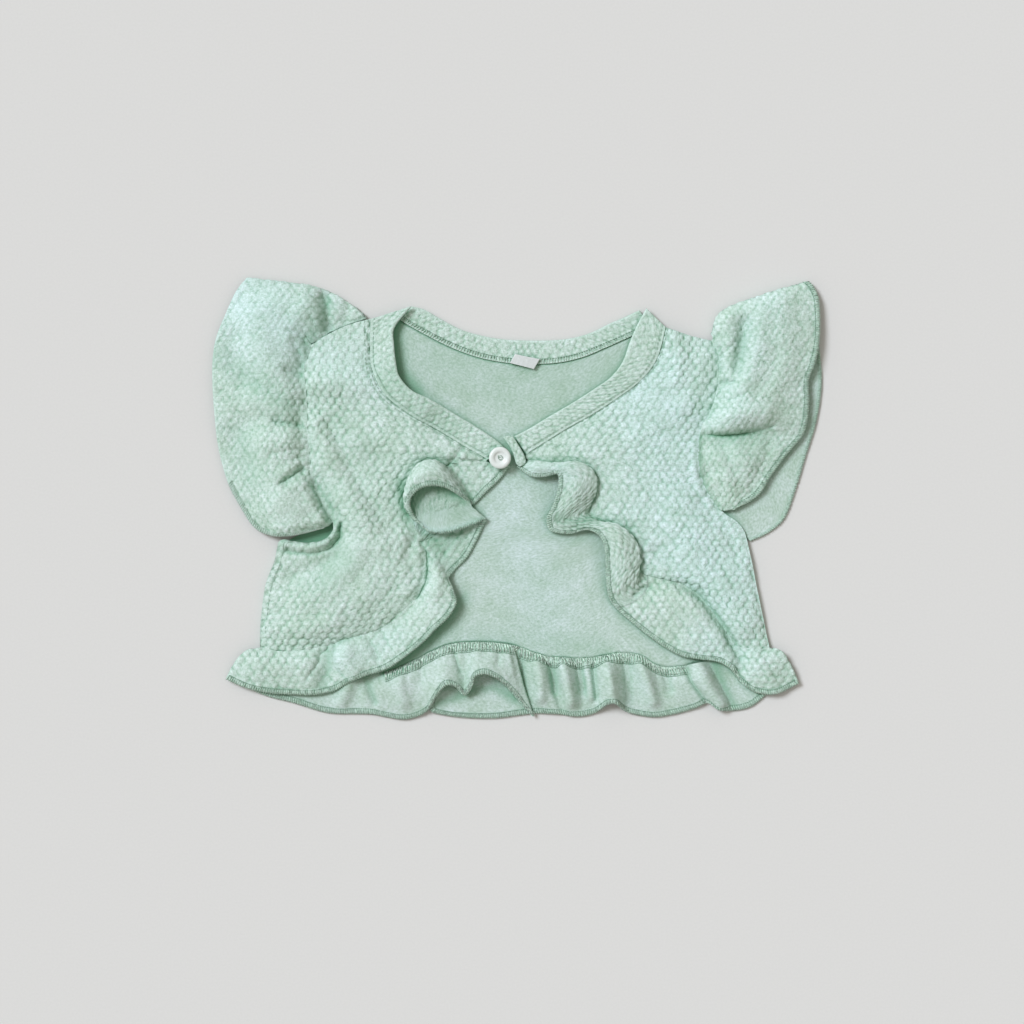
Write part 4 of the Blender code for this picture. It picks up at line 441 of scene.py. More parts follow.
# Soft folds that cross the pieces of the top layer, read off the photograph's shading, and each piece's own.
FRONT_CREASES = [
    (7, 2.55, -101, 58, -86, 59, -72, 56, -60, 51, -48, 45),
    (6, 1.35, -78, 28, -66, 30, -52, 26),
    (6, 2.25, -102, 38, -92, 13, -78, -10, -66, -22),
    (3.2, -1.2, -94, 38, -84, 16, -70, -6),
    (4.2, -1.95, -101, 6, -93, -7, -88, -17, -92, -28, -102, -34, -114, -39),
    (6, 1.65, -87, 0, -79, -16, -81, -31, -93, -43, -108, -51),
    (1.5, 1.7, -117, -22, -110.6, -23.2, -103.4, -23.8, -96.2, -22, -91.6, -17, -91, -13),
    (1.2, -1.4, -116, -25.6, -109, -26.8, -102, -27, -94, -24.6, -89, -19, -88.4, -12),
    (1.1, -1.3, -35.6, 15.8, -31.6, 20.4, -28.4, 25),
    (1, -1.5, -48, -21, -46, -26, -45, -31, -44.6, -36.4, -45.7, -42, -50, -49.3),
    (3, 1.2, -50, -27, -49.4, -36, -52, -44),
    (8, 1.35, -62, -32, -80, -50, -100, -58),
    (3.6, 1.35, -58, -18, -58, -34, -55, -46),
    (2.2, -1.1, -53, -21, -55, -27, -58.6, -33),
    (5, 1.5, -123, -64, -106, -66, -92, -62),
    (4.5, 1.35, 78, 84, 81, 72, 80, 60),
    (5, 1.05, 93, 70, 90, 58, 82, 46),
    (6, 1.2, 60, 30, 72, 20, 86, 16),
    (8, 1.2, 52, 8, 66, -6, 84, -14),
    (3, -1.8, 69, -25, 82, -38, 92, -50, 102, -62, 108, -72),
    (7, 1.35, 86, -26, 100, -42, 112, -62),
    (4, -1.2, 93, -2, 103, -14, 110, -26),
    (2, 0.9, 88.6, 28, 88.4, 14, 91, 5, 96, -3),
]
SLEEVE_LEFT_CREASES = [
    (3, -3.2, -96.5, 104, -96, 95, -95, 86),
    (2.2, -0.95, -84.5, 97, -86, 91, -88, 86),
    (4, 1.2, -104, 100, -110, 90, -114, 82),
    (2, -1.5, -113, 84, -109, 82, -104.6, 76),
    (2, -1.22, -112, 79, -109, 72, -108, 66),
    (1.4, -0.88, -116, 65, -111, 62.6, -106, 62),
    (7, 1.4, -128, 78, -120, 66, -112, 56),
    (2.2, -1.16, -131, 58, -120, 51.4, -107, 42),
    (6, -1, -144, 66, -134, 60),
    (4, 0.9, -133, 49, -121, 45, -110, 43),
    (0.9, -0.8, -122, 38.8, -114, 37.6, -105, 36.4),
    (5, -1, -142, 34, -133, 38, -123, 39),
    (6.5, 1.6, -126, 29, -118, 30, -111, 31),
    (7, -1.3, -141, 26, -136, 12, -130, 2),
    (1.2, -0.54, -124, 22, -114, 24.4, -105, 25.6),
    (1.2, -0.75, -111, 20.4, -105, 21.6),
    (0.8, -0.8, -119, 7.6, -113, 11.4, -107.6, 15.8),
    (2.4, 0.9, -117, 12, -111, 16, -107, 18.6),
    (8, 1.2, -118, -1, -112, -6),
    (1.1, -1.09, -103.6, 13, -102.4, 7, -98, -4, -94, -11),
    (2.4, 1.2, -107, 8, -103.6, -1, -98.6, -9),
    (4, 2.6, -119, -15, -108, -14, -98, -11),
]
SLEEVE_RIGHT_CREASES = [
    (4, -0.5, 114, 84, 111.4, 74, 109, 64),
    (4, 1.4, 104, 88, 104, 76, 103, 66),
    (5, 1.6, 122, 94, 119, 74, 113, 60),
    (8, 1.8, 131, 100, 132, 80, 128, 62, 120, 50),
    (4.6, 1.9, 96, 41, 108, 42, 124, 43),
    (1.3, -1.9, 90, 33, 100, 32.4, 110, 32.8, 120, 35, 127, 37),
    (7, -1, 102, 26, 114, 27, 124, 31),
    (1.1, -1, 100.6, 58.6, 107.6, 58.6),
    (1.2, -0.7, 100, 50.4, 106, 49, 111, 51.6),
    (4, -1, 118, 52, 126, 62, 129, 74),
    (4, 1.1, 97, 24, 102, 14, 107, 4),
    (2.4, -0.6, 104, 22, 108, 12, 112, 3),
    (3.6, 0.9, 108, 26, 115, 15, 121, 7),
    (3, -0.9, 126, 27, 121, 14, 116, 5),
]
RUFFLE_LEFT_CREASES = [
    (1, -0.9, -99, -73.2, -98.7, -77, -100, -82, -103, -86, -105, -89.3),
    (3, -1.2, -94.4, -75, -94.8, -83, -97, -91),
    (0.7, -0.8, -94.3, -71.4, -94.8, -74.3, -98, -77),
    (0.8, -1, -91.4, -72.5, -91.5, -79.3, -90, -84.3, -86.6, -88.4),
    (4, 1.9, -86, -73.5, -86, -80, -82, -86),
    (1.5, -1.1, -75.7, -68, -73.6, -72, -70, -79),
    (1.8, -0.7, -68, -66, -65, -72),
    (1, -0.7, -44.3, -30.7, -38.6, -33, -35.7, -37, -33, -43.6, -31, -49.3),
    (3.4, 1.4, -41, -33, -39.6, -40, -41, -46),
    (1.2, -0.8, -41, -19, -38, -21, -36, -25, -38, -29),
    (1.1, -0.8, -34.5, -19, -33.6, -23, -36, -26),
    (1, 0.8, -51, -11.4, -45, -15.2, -38, -16.2, -29, -14.3, -20, -11.4),
]
RUFFLE_RIGHT_CREASES = [
    (1.6, -0.8, 63, -44, 72, -57, 80, -70),
    (1.6, -0.9, 66, -43, 77, -55, 87, -67),
    (1.8, -0.8, 70, -43, 83, -54, 94, -67),
    (1.4, -1.4, 58, -48, 62, -45, 66, -44),
    (3, -1.9, 106, -70, 111, -79, 110, -90),
    (3.6, 0.9, 117, -77, 124, -86, 129, -95),
]
RUFFLE_BACK_CREASES = [
    (1.6, -2.2, 14.5, -80.5, 17, -86, 18.4, -96),
    (1.8, -2.4, 30, -81, 31, -87, 32.5, -95),
    (2, -1.6, 38, -81, 39, -90, 40, -99),
    (2.6, 2.6, 9.5, -82, 11.5, -90, 11.5, -99),
    (2.6, 3.2, 23.5, -83, 25, -90, 27, -101),
    (1.8, 1.8, 34.5, -83, 35.5, -90, 36.5, -99),
    (2.8, 3, 44, -82, 46, -90, 48.5, -102),
    (2.2, -2.4, 54, -79, 55, -88, 55, -100),
    (2.4, 2.4, 61, -83, 65, -91, 68, -101),
    (2.2, -2, 74, -86, 76, -95),
    (1.5, -2.2, 84, -84, 87, -91, 92.6, -98, 96, -103),
    (3.4, 4.4, 90, -83, 95, -92, 101.6, -102),
    (2.2, -3.4, 99.5, -83, 103.6, -92, 108.6, -102),
    (1.1, -1.2, -32, -75.5, -30.4, -81, -28.6, -86),
    (1.6, -0.9, -8.6, -76, -10, -82),
    (2, 0.8, -4.4, -78, -3, -86),
    (3, -0.9, -47, -82, -48, -90),
    (1.8, -1.6, -76, -88, -74.3, -94.3, -71.4, -101),
    (3.4, 2.4, -84, -91, -88, -101),
    (3.4, 1.6, -60, -90, -57, -101),
]

# Where the knit is pulled nearly flat, or stands up more: place, radius and the share of depth that is left.
PULLS = [
    (-84, -32, 15, 0.4), (-86, 72, 15, 0.6), (-122, 74, 12, 0.55), (-124, 99, 20, 0.7),
    (-113, -4, 9, 0.35), (-80, -78, 11, 0.35), (-94, -80, 6, 0.3), (66, 46, 13, 0.65),
    (-39, -38, 7, 0.5), (-44, -57, 8, 0.55),
    (84, -62, 12, 0.6), (13, 15, 8, 0.3), (-46, 14, 6, 0.6), (-58, -62, 10, 0.7),
    (-110, -62, 16, 1.25), (-125, -90, 12, 1.3), (-90, 47, 12, 1.25), (100, -30, 20, 1.1),
]

# Painted shade: where the mint is painted deeper and greener, because little light comes there: for each
# cloth the width, the share, the height that it stays below and the line of each mark.
PAINTED_SHADES = {
    "back_panel": [
        (4.5, 0.9, 9, -116, -20, -108, -20, -100, -18, -95, -14, -92, -8),
        (4, 0.6, 9, -61, 88, -60, 74, -58, 64, -50, 55),
        (4, 0.6, 9, -64, -86, -45, -72, -33, -60, -28, -50),
        (4, 0.16, 9, 13, 10, 14, -8, 24, -20, 38, -20, 42, -34), (4, 0.12, 9, 44, -42, 52, -58, 72, -72),
        (7, 0.16, 9, -40, -66, -5, -70, 40, -74), (18, 0.20, 9, -42, 72, 0, 56, 40, 66),
    ],
    "ruffle_back": [
        (2.6, 0.8, 9, -66, -86, -60, -84, -56, -83),
        (2.4, 0.5, 1.6, -40, -102, -30, -99, -22, -96, -12, -94, -2, -100),
        (2, 0.4, 9, -76, -88, -74.3, -94, -71.4, -101), (2.6, 0.5, 9, 99, -83, 103, -92, 108, -103),
    ],
    "ruffle_left": [
        (2.8, 0.6, 7.4, -53, -5, -48, 3, -42, 6, -33, 4, -26, 0),
        (9, 0.25, 7.4, -44, -6, -34, -6, -26, -6), (5, 0.4, 4, -44, -20, -37, -22, -30, -20),
        (4, 0.3, 4, -41, -27, -36, -29), (2.4, 0.35, 9, -94, -74, -94, -84, -97, -92),
    ],
    "front_left": [
        (3, 0.35, 20, -58, 8, -57, -6, -51, -18), (7, 0.22, 20, -94, -20, -85, -32, -97, -40),
        (8, 0.14, 20, -88, 38, -74, 20),
    ],
    "neckband_left": [
        (8, 0.2, 20, -66, 60, -50, 46, -34, 37),
    ],
    "sleeve_left": [
        (7, 0.22, 20, -150, 72, -134, 60, -112, 44), (6, 0.2, 20, -138, 32, -132, 10),
        (4, 0.35, 20, -96, 98, -99, 86, -106, 78, -107, 62),
    ],
    "sleeve_right": [
        (3, 0.2, 20, 92, 31, 104, 30.6, 120, 33), (9, 0.12, 20, 98, 20, 112, 22, 124, 28),
        (4, 0.2, 20, 111, 80, 109, 68), (1.6, 0.6, 20, 91, 32, 91, 14, 95, 3, 101, -6),
    ],
    "ruffle_right": [
        (3.4, 0.4, 20, 20, -9, 30, -12, 38, -9),
    ],
}

# Painted light: where the mint is painted paler and a little bluer, as lit places look.
PAINTED_LIGHTS = {
    "back_panel": [
        (20, 0.45, 20, -4, 4, 4, -28, 14, -56),
    ],
    "front_right": [
        (34, 1, 20, 66, 56, 78, 30, 84, -10, 100, -40),
    ],
    "ruffle_right": [
        (14, 0.6, 20, 110, -76, 96, -76), (7, 0.5, 20, 8, 14, 16, 14, 24, 12),
    ],
    "sleeve_left": [
        (24, 0.9, 20, -136, 98, -118, 84),
    ],
    "sleeve_right": [
        (14, 0.5, 20, 122, 96, 104, 46),
    ],
    "front_left": [
        (18, 0.5, 20, -90, 70, -66, 60),
    ],
    "ruffle_left": [
        (9, 0.45, 20, -88, -78, -74, -76, -60, -68),
        (1.8, 1, 7.4, -51, -12, -45, -15.6, -38, -16.6, -29, -14.6, -16, -10),
    ],
}

# The flute's mouth is filled by its own floor, which turns under the roof. It replaces the solid's rows.

# ------------------------------------------------------------------------------------- curves and grids


def through(points, knots, values):
    """Points at some knot values on the smooth curve that passes through points at their knots."""
    points = np.asarray(points, dtype=float)
    knots = np.asarray(knots, dtype=float)
    spans = np.diff(knots)
    spread = (-1,) + (1,) * (points.ndim - 1)
    slopes = np.diff(points, axis=0) / spans.reshape(spread)
    tangents = np.concatenate([slopes[:1], slopes[:1], slopes[1:]]) if len(points) == 2 else np.concatenate(
        [slopes[:1], (slopes[1:] * spans[:-1].reshape(spread) + slopes[:-1] * spans[1:].reshape(spread))
         / (spans[:-1] + spans[1:]).reshape(spread), slopes[-1:]])
    index = np.clip(np.searchsorted(knots, values, side="right") - 1, 0, len(spans) - 1)
    span = spans[index].reshape(spread)
    t = (np.asarray(values) - knots[index]).reshape(spread) / span
    start, end = points[index], points[index + 1]
    return ((2 * t ** 3 - 3 * t ** 2 + 1) * start + (t ** 3 - 2 * t ** 2 + t) * span * tangents[index]
            + (3 * t ** 2 - 2 * t ** 3) * end + (t ** 3 - t ** 2) * span * tangents[index + 1])


def row_steps(points):
    """How far apart rows of points are: (rows, 3) or (rows, columns, 3)."""
    steps = np.linalg.norm(np.diff(points, axis=0), axis=-1)
    return steps.mean(axis=1) if steps.ndim > 1 else steps


def chord_knots(points):
    """Centripetal knots along rows of points."""
    return np.concatenate([[0.0], np.cumsum(np.sqrt(np.maximum(row_steps(points), LEAST_ROW_STEP)))])


def knot_values(points, step):
    """Knot values that cut each interval between rows into quads of about one step."""
    knots = chord_knots(points)
    values = [knots[0]]
    for low, high, length in zip(knots, knots[1:], row_steps(points)):
        count = max(1, round(length / step))
        values.extend(low + (high - low) * k / count for k in range(1, count + 1))
    return np.array(values)


def across(sections, count):
    """Each section's control points, refined to count + 1 points along its own smooth curve."""
    rows = []
    for section in sections:
        knots = chord_knots(section)
        rows.append(through(section, knots, np.linspace(0, knots[-1], count + 1)))
    return np.array(rows)


class Path:
    """A polyline that a strip is sewn to, read by its share of the length."""

    def __init__(self, points):
        self.points = np.asarray(points, dtype=float)
        steps = np.linalg.norm(np.diff(self.points, axis=0), axis=1)
        self.shares = np.concatenate([[0.0], np.cumsum(steps)]) / steps.sum()

    def at(self, shares):
        return np.stack([np.interp(shares, self.shares, self.points[:, k]) for k in range(3)], axis=1)

    def share_near(self, point, least):
        """The share of the point nearest to the given one, not before least."""
        shares = np.linspace(least, 1, PATH_READINGS)
        return shares[np.argmin(np.linalg.norm(self.at(shares) - np.asarray(point), axis=1))]


def moved_out(edge, inside, gap=SEAM_GAP):
    """A panel's edge, moved by a gap in plan, square to its line and away from the points inside it."""
    run = np.gradient(edge, axis=0)[:, :2]
    run /= np.linalg.norm(run, axis=1)[:, None]
    out = (edge - inside)[:, :2]
    out = out - (out * run).sum(axis=1)[:, None] * run
    out /= np.linalg.norm(out, axis=1)[:, None]
    return np.concatenate([edge[:, :2] + gap * out, edge[:, 2:]], axis=1)


def bell(distance, width):
    """1 at no distance, and less the farther away, on the scale of a width."""
    return np.exp(-(distance / width) ** 2)


def line_distance(plan, line):
    """How far points are, in plan, from a line that is given as x, y, x, y and so on."""
    line = np.reshape(line, (-1, 2)).astype(float)
    best = np.full(plan.shape[:-1], np.inf)
    for start, run in zip(line, np.diff(line, axis=0)):
        share = np.clip(((plan - start) @ run) / (run @ run), 0, 1)
        best = np.minimum(best, np.linalg.norm(plan - start - share[..., None] * run, axis=-1))
    return best


def add_creases(grid, creases, flat_too=False):
    """Raise or sink a grid along creases. What lies flat stays down, unless flat_too."""
    free = 1.0 if flat_too else np.clip((grid[..., 2] - WALL) / FOLD_RISE, 0, 1)
    rise = sum(height * bell(line_distance(grid[..., :2], line), width) for width, height, *line in creases)
    grid[..., 2] = np.maximum(grid[..., 2] + free * rise, TABLE_LAYER)
    return grid


def add_folds(grid, folds):
    """Raise or sink a grid along soft folds, each on top of those before it, and keep it above the table."""
    grid[..., 2] = np.maximum(grid[..., 2], TABLE_LAYER)
    for fold in folds:
        add_creases(grid, [fold])
    return grid


def add_gathers(grid, pitch, height, reach, seed):
    """Small folds that start at a gathered seam and fade out across the cloth."""
    wide, long = lengths(grid)
    wave = (noise(long + 0.15 * wide, 0.12 * wide, pitch, seed)
            + 0.5 * noise(long, 0.1 * wide, pitch * 0.55, seed + 1))
    fade = smooth(0.0, 2.2, wide) * np.exp(-wide / reach)
    grid[..., 2] = np.maximum(grid[..., 2] + height * fade * wave, TABLE_LAYER)
    return grid


def panel_grid(rows, width, folds):
    """A panel's grid and, for each table row, its place in the grid."""
    share = np.linspace(0, 1, ROW_POINTS)[:, None]
    arc = 4 * share * (1 - share)
    sections = []
    for row in rows:
        outer, inner, (bend, crown) = np.split(np.array(row, dtype=float), (3, 6))
        sections.append(outer + (inner - outer) * share + arc * np.array([0, bend, crown]))
    sections = np.array(sections)
    values = knot_values(sections, STEP)
    places = np.searchsorted(values, chord_knots(sections) - 1e-9)
    dense = through(sections, chord_knots(sections), values)
    return add_folds(across(dense, round(width / STEP)), folds), places


def as_points(rows):
    """Rows of plain numbers as rows of points, three numbers a point."""
    return np.array(rows, dtype=float).reshape(len(rows), -1, 3)


def section_rows(sections, step=STEP):
    """The grid rows that a strip's sections are in."""
    sections = as_points(sections)
    return np.searchsorted(knot_values(sections, step), chord_knots(sections) - 1e-9)


def strip_grid(sections, width, path=None, folds=(), step=STEP, fine=1.0):
    """A strip's grid; with a path, its seam follows that path exactly."""
    sections = as_points(sections)
    knots = chord_knots(sections)
    values = knot_values(sections, step)
    dense = through(sections, knots, values)
    if path is not None:
        shares = []
        for section in sections:
            shares.append(path.share_near(section[0], shares[-1] + LEAST_STEP if shares else 0.0))
        dense[:, 0, :2] = path.at(through(shares, knots, values))[:, :2]
    return add_folds(across(dense, round(fine * width / step)), folds)


def back_grid(step):
    """A patch between the back's four edges, flat on the table."""
    def edge(points, count):
        points = np.array([(x, y, TABLE_LAYER) for x, y in points], dtype=float)
        knots = chord_knots(points)
        fine = through(points, knots, np.linspace(0, knots[-1], EDGE_READINGS))
        return Path(fine).at(np.linspace(0, 1, count + 1))

    columns, rows = round(255 / step), round(165 / step)
    top, bottom = edge(BACK_TOP, columns), edge(BACK_BOTTOM, columns)
    left, right = edge(BACK_LEFT, rows), edge(BACK_RIGHT, rows)
    u = np.linspace(0, 1, columns + 1)[None, :, None]
    v = np.linspace(0, 1, rows + 1)[:, None, None]
    ruled = (1 - v) * top[None] + v * bottom[None] + (1 - u) * left[:, None] + u * right[:, None]
    corners = ((1 - u) * (1 - v) * top[0] + u * (1 - v) * top[-1]
               + (1 - u) * v * bottom[0] + u * v * bottom[-1])
    return ruled - corners


def neck_path(panel, places, rows):
    """The line a front's neck band is sewn to."""
    part = panel[places[rows[0]]:places[rows[1]] + 1]
    return Path(moved_out(part[:, -1], part[:, -2]))


def front_path(panel, places, rows):
    """The line a front's ruffle is sewn to: down the front edge, then out along the hem."""
    foot = places[rows[1]]
    front_inside = (panel[foot:, -2] + panel[foot - 1:-1, -2]) / 2
    edge = np.concatenate([panel[foot:, -1], panel[-1, -2::-1]])
    inside = np.concatenate([front_inside, panel[-2, -2::-1]])
    return Path(moved_out(edge, inside))


def sleeve_path(panel, places, rows, shoulder, back_shoulder, back):
    """The line a sleeve is sewn to: up the front armhole, over the shoulder, down the back armhole."""
    part = panel[places[rows[0]]:places[rows[1]] + 1]
    front = moved_out(part[::-1, 0], part[::-1, 1])
    count = round(len(back) * BACK_ARMHOLE_SHARE)
    skip = round(len(back) / 10)
    rear = moved_out(back[skip:count, 0], back[skip:count, 1])
    return Path(np.concatenate([front, shoulder, back_shoulder, rear]))


# --------------------------------------------------------------------------------------- cloth surfaces


def smooth(low, high, values):
    """0 below low, 1 above high, and a smooth step between them."""
    share = np.clip((values - low) / (high - low), 0, 1)
    return share * share * (3 - 2 * share)


def noise(x, y, scale, seed):
    """Smooth noise between -1 and 1, its bumps about one scale apart."""
    lattice = np.random.RandomState(seed).uniform(-1, 1, (LATTICE, LATTICE))
    x, y = x / scale + 31.7, y / scale + 17.3
    i, j = np.floor(x).astype(int), np.floor(y).astype(int)
    u, v = smooth(0, 1, x - i), smooth(0, 1, y - j)
    i, j, next_i, next_j = (k % LATTICE for k in (i, j, i + 1, j + 1))
    low = lattice[i, j] * (1 - u) + lattice[next_i, j] * u
    high = lattice[i, next_j] * (1 - u) + lattice[next_i, next_j] * u
    return low * (1 - v) + high * v


def lengths(grid):
    """Distances over the cloth, across each row and along it, both from the grid's first corner."""
    wide = np.linalg.norm(np.diff(grid, axis=1), axis=2)
    wide = np.concatenate([np.zeros((len(grid), 1)), np.cumsum(wide, axis=1)], axis=1)
    long = np.linalg.norm(np.diff(grid, axis=0), axis=2).mean(axis=1)
    long = np.concatenate([[0.0], np.cumsum(long)])[:, None] + np.zeros_like(wide)
    return wide, long


def normals(grid):
    """Unit normals of a grid. They point to +Z where the grid runs to +X across and to -Y along."""
    cross = np.cross(np.gradient(grid, axis=0), np.gradient(grid, axis=1))
    return cross / np.maximum(np.linalg.norm(cross, axis=2), 1e-9)[..., None]


def bubbles(wide, long, seed, wobble=1.0):
    """The knit's cells, packed like bricks and a little uneven: up to 1 on a top, 0 in the gaps."""
    bent_wide = 1.1 * noise(wide, long, 15, seed) + 0.7 * noise(wide, long, 5, seed + 2)
    bent_long = 0.9 * noise(wide, long, 19, seed + 1) + 0.5 * noise(wide, long, 6, seed + 3)
    x = (wide + wobble * bent_wide) / CELL_WIDTH
    y = (long + wobble * bent_long) / CELL_ROW
    random = np.random.RandomState(seed)
    size = random.uniform(*CELL_SIZES, (LATTICE, LATTICE))
    drift = random.uniform(-CELL_DRIFT, CELL_DRIFT, (2, LATTICE, LATTICE))
    best = np.zeros(x.shape)
    for row_step in (-1, 0, 1):
        row = np.round(y).astype(int) + row_step
        offset = 0.5 * (row % 2)
        column = np.round(x - offset).astype(int)
        at = (column % LATTICE, row % LATTICE)
        dx = (x - offset - column - drift[0][at]) * CELL_WIDTH
        dy = (y - row - drift[1][at]) * CELL_ROW
        best = np.maximum(best, size[at] * (1 - ((dx * dx + dy * dy) / CELL_REACH ** 2) ** DOME_POWER))
    return best + FINE_HEIGHT * noise(wide, long, FINE_SCALE, seed + 4)


class Cloth:
    """A sheet of knit: its middle surface, its right side's cells, and what is read off it later."""

    def __init__(self, name, grid, up, seed, wall=WALL, rows_across=True):
        self.name, self.grid, self.wall, self.seed = name, grid, wall, seed
        self.up = up                    # 1 where the right side is the side that the first rows show
        self.wide, self.long = lengths(grid)
        self.edge = self.wide[:, -1:] - self.wide  # how far it is to the last edge
        if rows_across:
            self.cell_u, self.cell_v = self.wide, self.long
        else:
            self.cell_u, self.cell_v = self.long, self.wide
        self.flat = np.ones(self.wide.shape)       # how deep the bubbles are here, from 0 to 1
        self.band = np.zeros(self.wide.shape)      # 1 under overlock thread, where the cloth is painted with shade
        self.sink = np.zeros(self.wide.shape)      # how far stitching pulls the right side in
        self.sewn = self.wide < 1e-6               # where its border is a seam
        self.round = np.ones(self.wide.shape)      # share of the wall that is left at a rounded edge
        self.wobble = 1.0                          # how uneven its rows of bubbles are
        self.small = 1.0                           # how much closer together its bubbles are

    def finish_surface(self):
        self.normal = normals(self.grid)
        quarter = max(2, len(self.grid) // 8)
        if self.normal[:quarter, :, 2].mean() < 0:
            self.normal = -self.normal


def pulled(grid):
    """How much of the bubbles' depth is left at each place."""
    left = np.ones(grid.shape[:2])
    for x, y, radius, share in PULLS:
        near = np.exp(-((grid[..., 0] - x) ** 2 + (grid[..., 1] - y) ** 2) / radius ** 2)
        left *= 1 + (share - 1) * near
    return left


def marked(cloth, marks):
    """How much of some marks there is at each place of a cloth, from 0 to 1."""
    left = np.ones(cloth.grid.shape[:2])
    for width, share, top, *line in marks.get(cloth.name, ()):
        near = bell(line_distance(cloth.grid[..., :2], line), width)
        left *= 1 - share * near * (cloth.grid[..., 2] < top)
    return 1 - left


def sides(cloth, both=False):
    """The two outer surfaces of a cloth and how high each point is in its cell, which sets the painted shade
    between bubbles.
    """
    cells = bubbles(cloth.cell_u * cloth.small, cloth.cell_v * cloth.small, cloth.seed, cloth.wobble)
    patches = noise(cloth.grid[..., 0], cloth.grid[..., 1], PATCH_SCALE, cloth.seed + 7)
    patchy = 1 - PATCH_SHARE + PATCH_SHARE * patches
    depth = CELL_DEPTH / cloth.small * cloth.flat * patchy * pulled(cloth.grid)
    right = cloth.wall / 2 + BUBBLE_RISE - depth * (1 - cells) - cloth.sink
    wrong = right if both else cloth.wall / 2 - WRONG_RELIEF * cloth.flat * (1 - cells)
    top, bottom = (right, wrong) if cloth.up > 0 else (wrong, right)
    fuzz = np.random.RandomState(cloth.seed).uniform(-YARN, YARN, (2,) + top.shape)
    high = cloth.grid + cloth.normal * (cloth.round * top + fuzz[0])[..., None]
    low = cloth.grid - cloth.normal * (cloth.round * bottom + fuzz[1])[..., None]
    share = np.clip(cloth.flat * pulled(cloth.grid), 0, 1)
    relief = PLAIN_TONE + share * (cells - PLAIN_TONE)
    return high, low, np.clip(relief, 0, 1)


def rounded(edge, reach):
    """The share of the wall that is left near an edge that is rounded off."""
    return np.sqrt(np.clip(1 - np.clip(1 - edge / reach, 0, 1) ** 2, 0.06, 1))


def shell_mesh(name, cloth, both=False):
    """A closed mesh between a cloth's two surfaces, with the right side as material 0, the wrong as 1."""
    high, low, relief = sides(cloth, both)
    rows, columns = cloth.wide.shape
    index = np.arange(rows * columns).reshape(rows, columns)
    quads = np.stack([index[:-1, :-1], index[:-1, 1:], index[1:, 1:], index[1:, :-1]], axis=-1).reshape(-1, 4)
    points = np.concatenate([high.reshape(-1, 3), low.reshape(-1, 3)])
    a, b, c = (points[quads[:, k]] for k in (0, 1, 2))
    facing = (np.cross(b - a, c - b) * cloth.normal.reshape(-1, 3)[quads[:, 0]]).sum()
    if facing < 0:
        quads = quads[:, ::-1]
    under = quads[:, ::-1] + rows * columns
    ring = np.concatenate([index[0, :-1], index[:-1, -1], index[-1, :0:-1], index[:0:-1, 0]])
    after = np.roll(ring, -1)
    rim = np.stack([ring, after, after + rows * columns, ring + rows * columns], axis=1)
    if facing > 0:
        rim = rim[:, ::-1]
    faces = np.concatenate([quads, under, rim])
    mesh = bpy.data.meshes.new(name)
    mesh.from_pydata(((points - CENTRE) * MM).tolist(), [], faces.tolist())
    right, wrong = (0, 0) if both else (0, 1) if cloth.up > 0 else (1, 0)
    material = np.concatenate([np.full(len(quads), right), np.full(len(under), wrong), np.full(len(rim), 0)])
    mesh.polygons.foreach_set("material_index", material.astype(np.int32))
    mesh.shade_smooth()
    sewn = cloth.sewn.ravel()[ring]
    sewn &= np.roll(sewn, -1)
    pairs = np.stack([ring, after], axis=1)[sewn]
    pairs = np.sort(np.concatenate([pairs, pairs + rows * columns]), axis=1)
    ends = np.empty(2 * len(mesh.edges), dtype=np.int32)
    mesh.edges.foreach_get("vertices", ends)
    ends = np.sort(ends.reshape(-1, 2), axis=1).astype(np.int64)
    sharp = np.isin(ends @ (len(points), 1), pairs @ (len(points), 1))
    attribute = mesh.attributes.new("sharp_edge", "BOOLEAN", "EDGE")
    attribute.data.foreach_set("value", sharp)
    # Tones for the material: the height in a cell paints shade into the gaps between bubbles, and the marks
    # paint shade under overlock thread, shade in hollows and light on lit places.
    wrong_cell = relief if both else 0.5 + 0.5 * relief
    cells = (relief, wrong_cell) if cloth.up > 0 else (wrong_cell, relief)
    for key, pair in (("painted_bubble_shade", cells), ("band", [cloth.band] * 2), ("painted_shade", [marked(cloth, PAINTED_SHADES)] * 2),
                      ("painted_light", [marked(cloth, PAINTED_LIGHTS)] * 2)):
        add_values(mesh, key, np.concatenate([side.ravel() for side in pair]))
    plan = np.stack([cloth.cell_u, cloth.cell_v, np.zeros_like(cloth.wide)], axis=-1).reshape(-1, 3)
    attribute = mesh.attributes.new("cloth_mm", "FLOAT_VECTOR", "POINT")
    attribute.data.foreach_set("vector", np.concatenate([plan, plan + (0, 0, 7)]).astype(np.float32).ravel())
    mesh.update()
    return mesh


def add_values(mesh, name, values):
    attribute = mesh.attributes.new(name, "FLOAT", "POINT")
    attribute.data.foreach_set("value", np.asarray(values, dtype=np.float32))


def add_piece(name, mesh, materials, slot, *nodes):
    """Show a mesh as a piece that stands for some nodes."""
    piece = bpy.data.objects.new(name, mesh)
    for material in materials:
        piece.data.materials.append(material)
    bpy.context.scene.collection.objects.link(piece)
    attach(piece, "root")
    if nodes:
        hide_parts(*nodes)
    return piece


# --------------------------------------------------------------------------------------------- threads


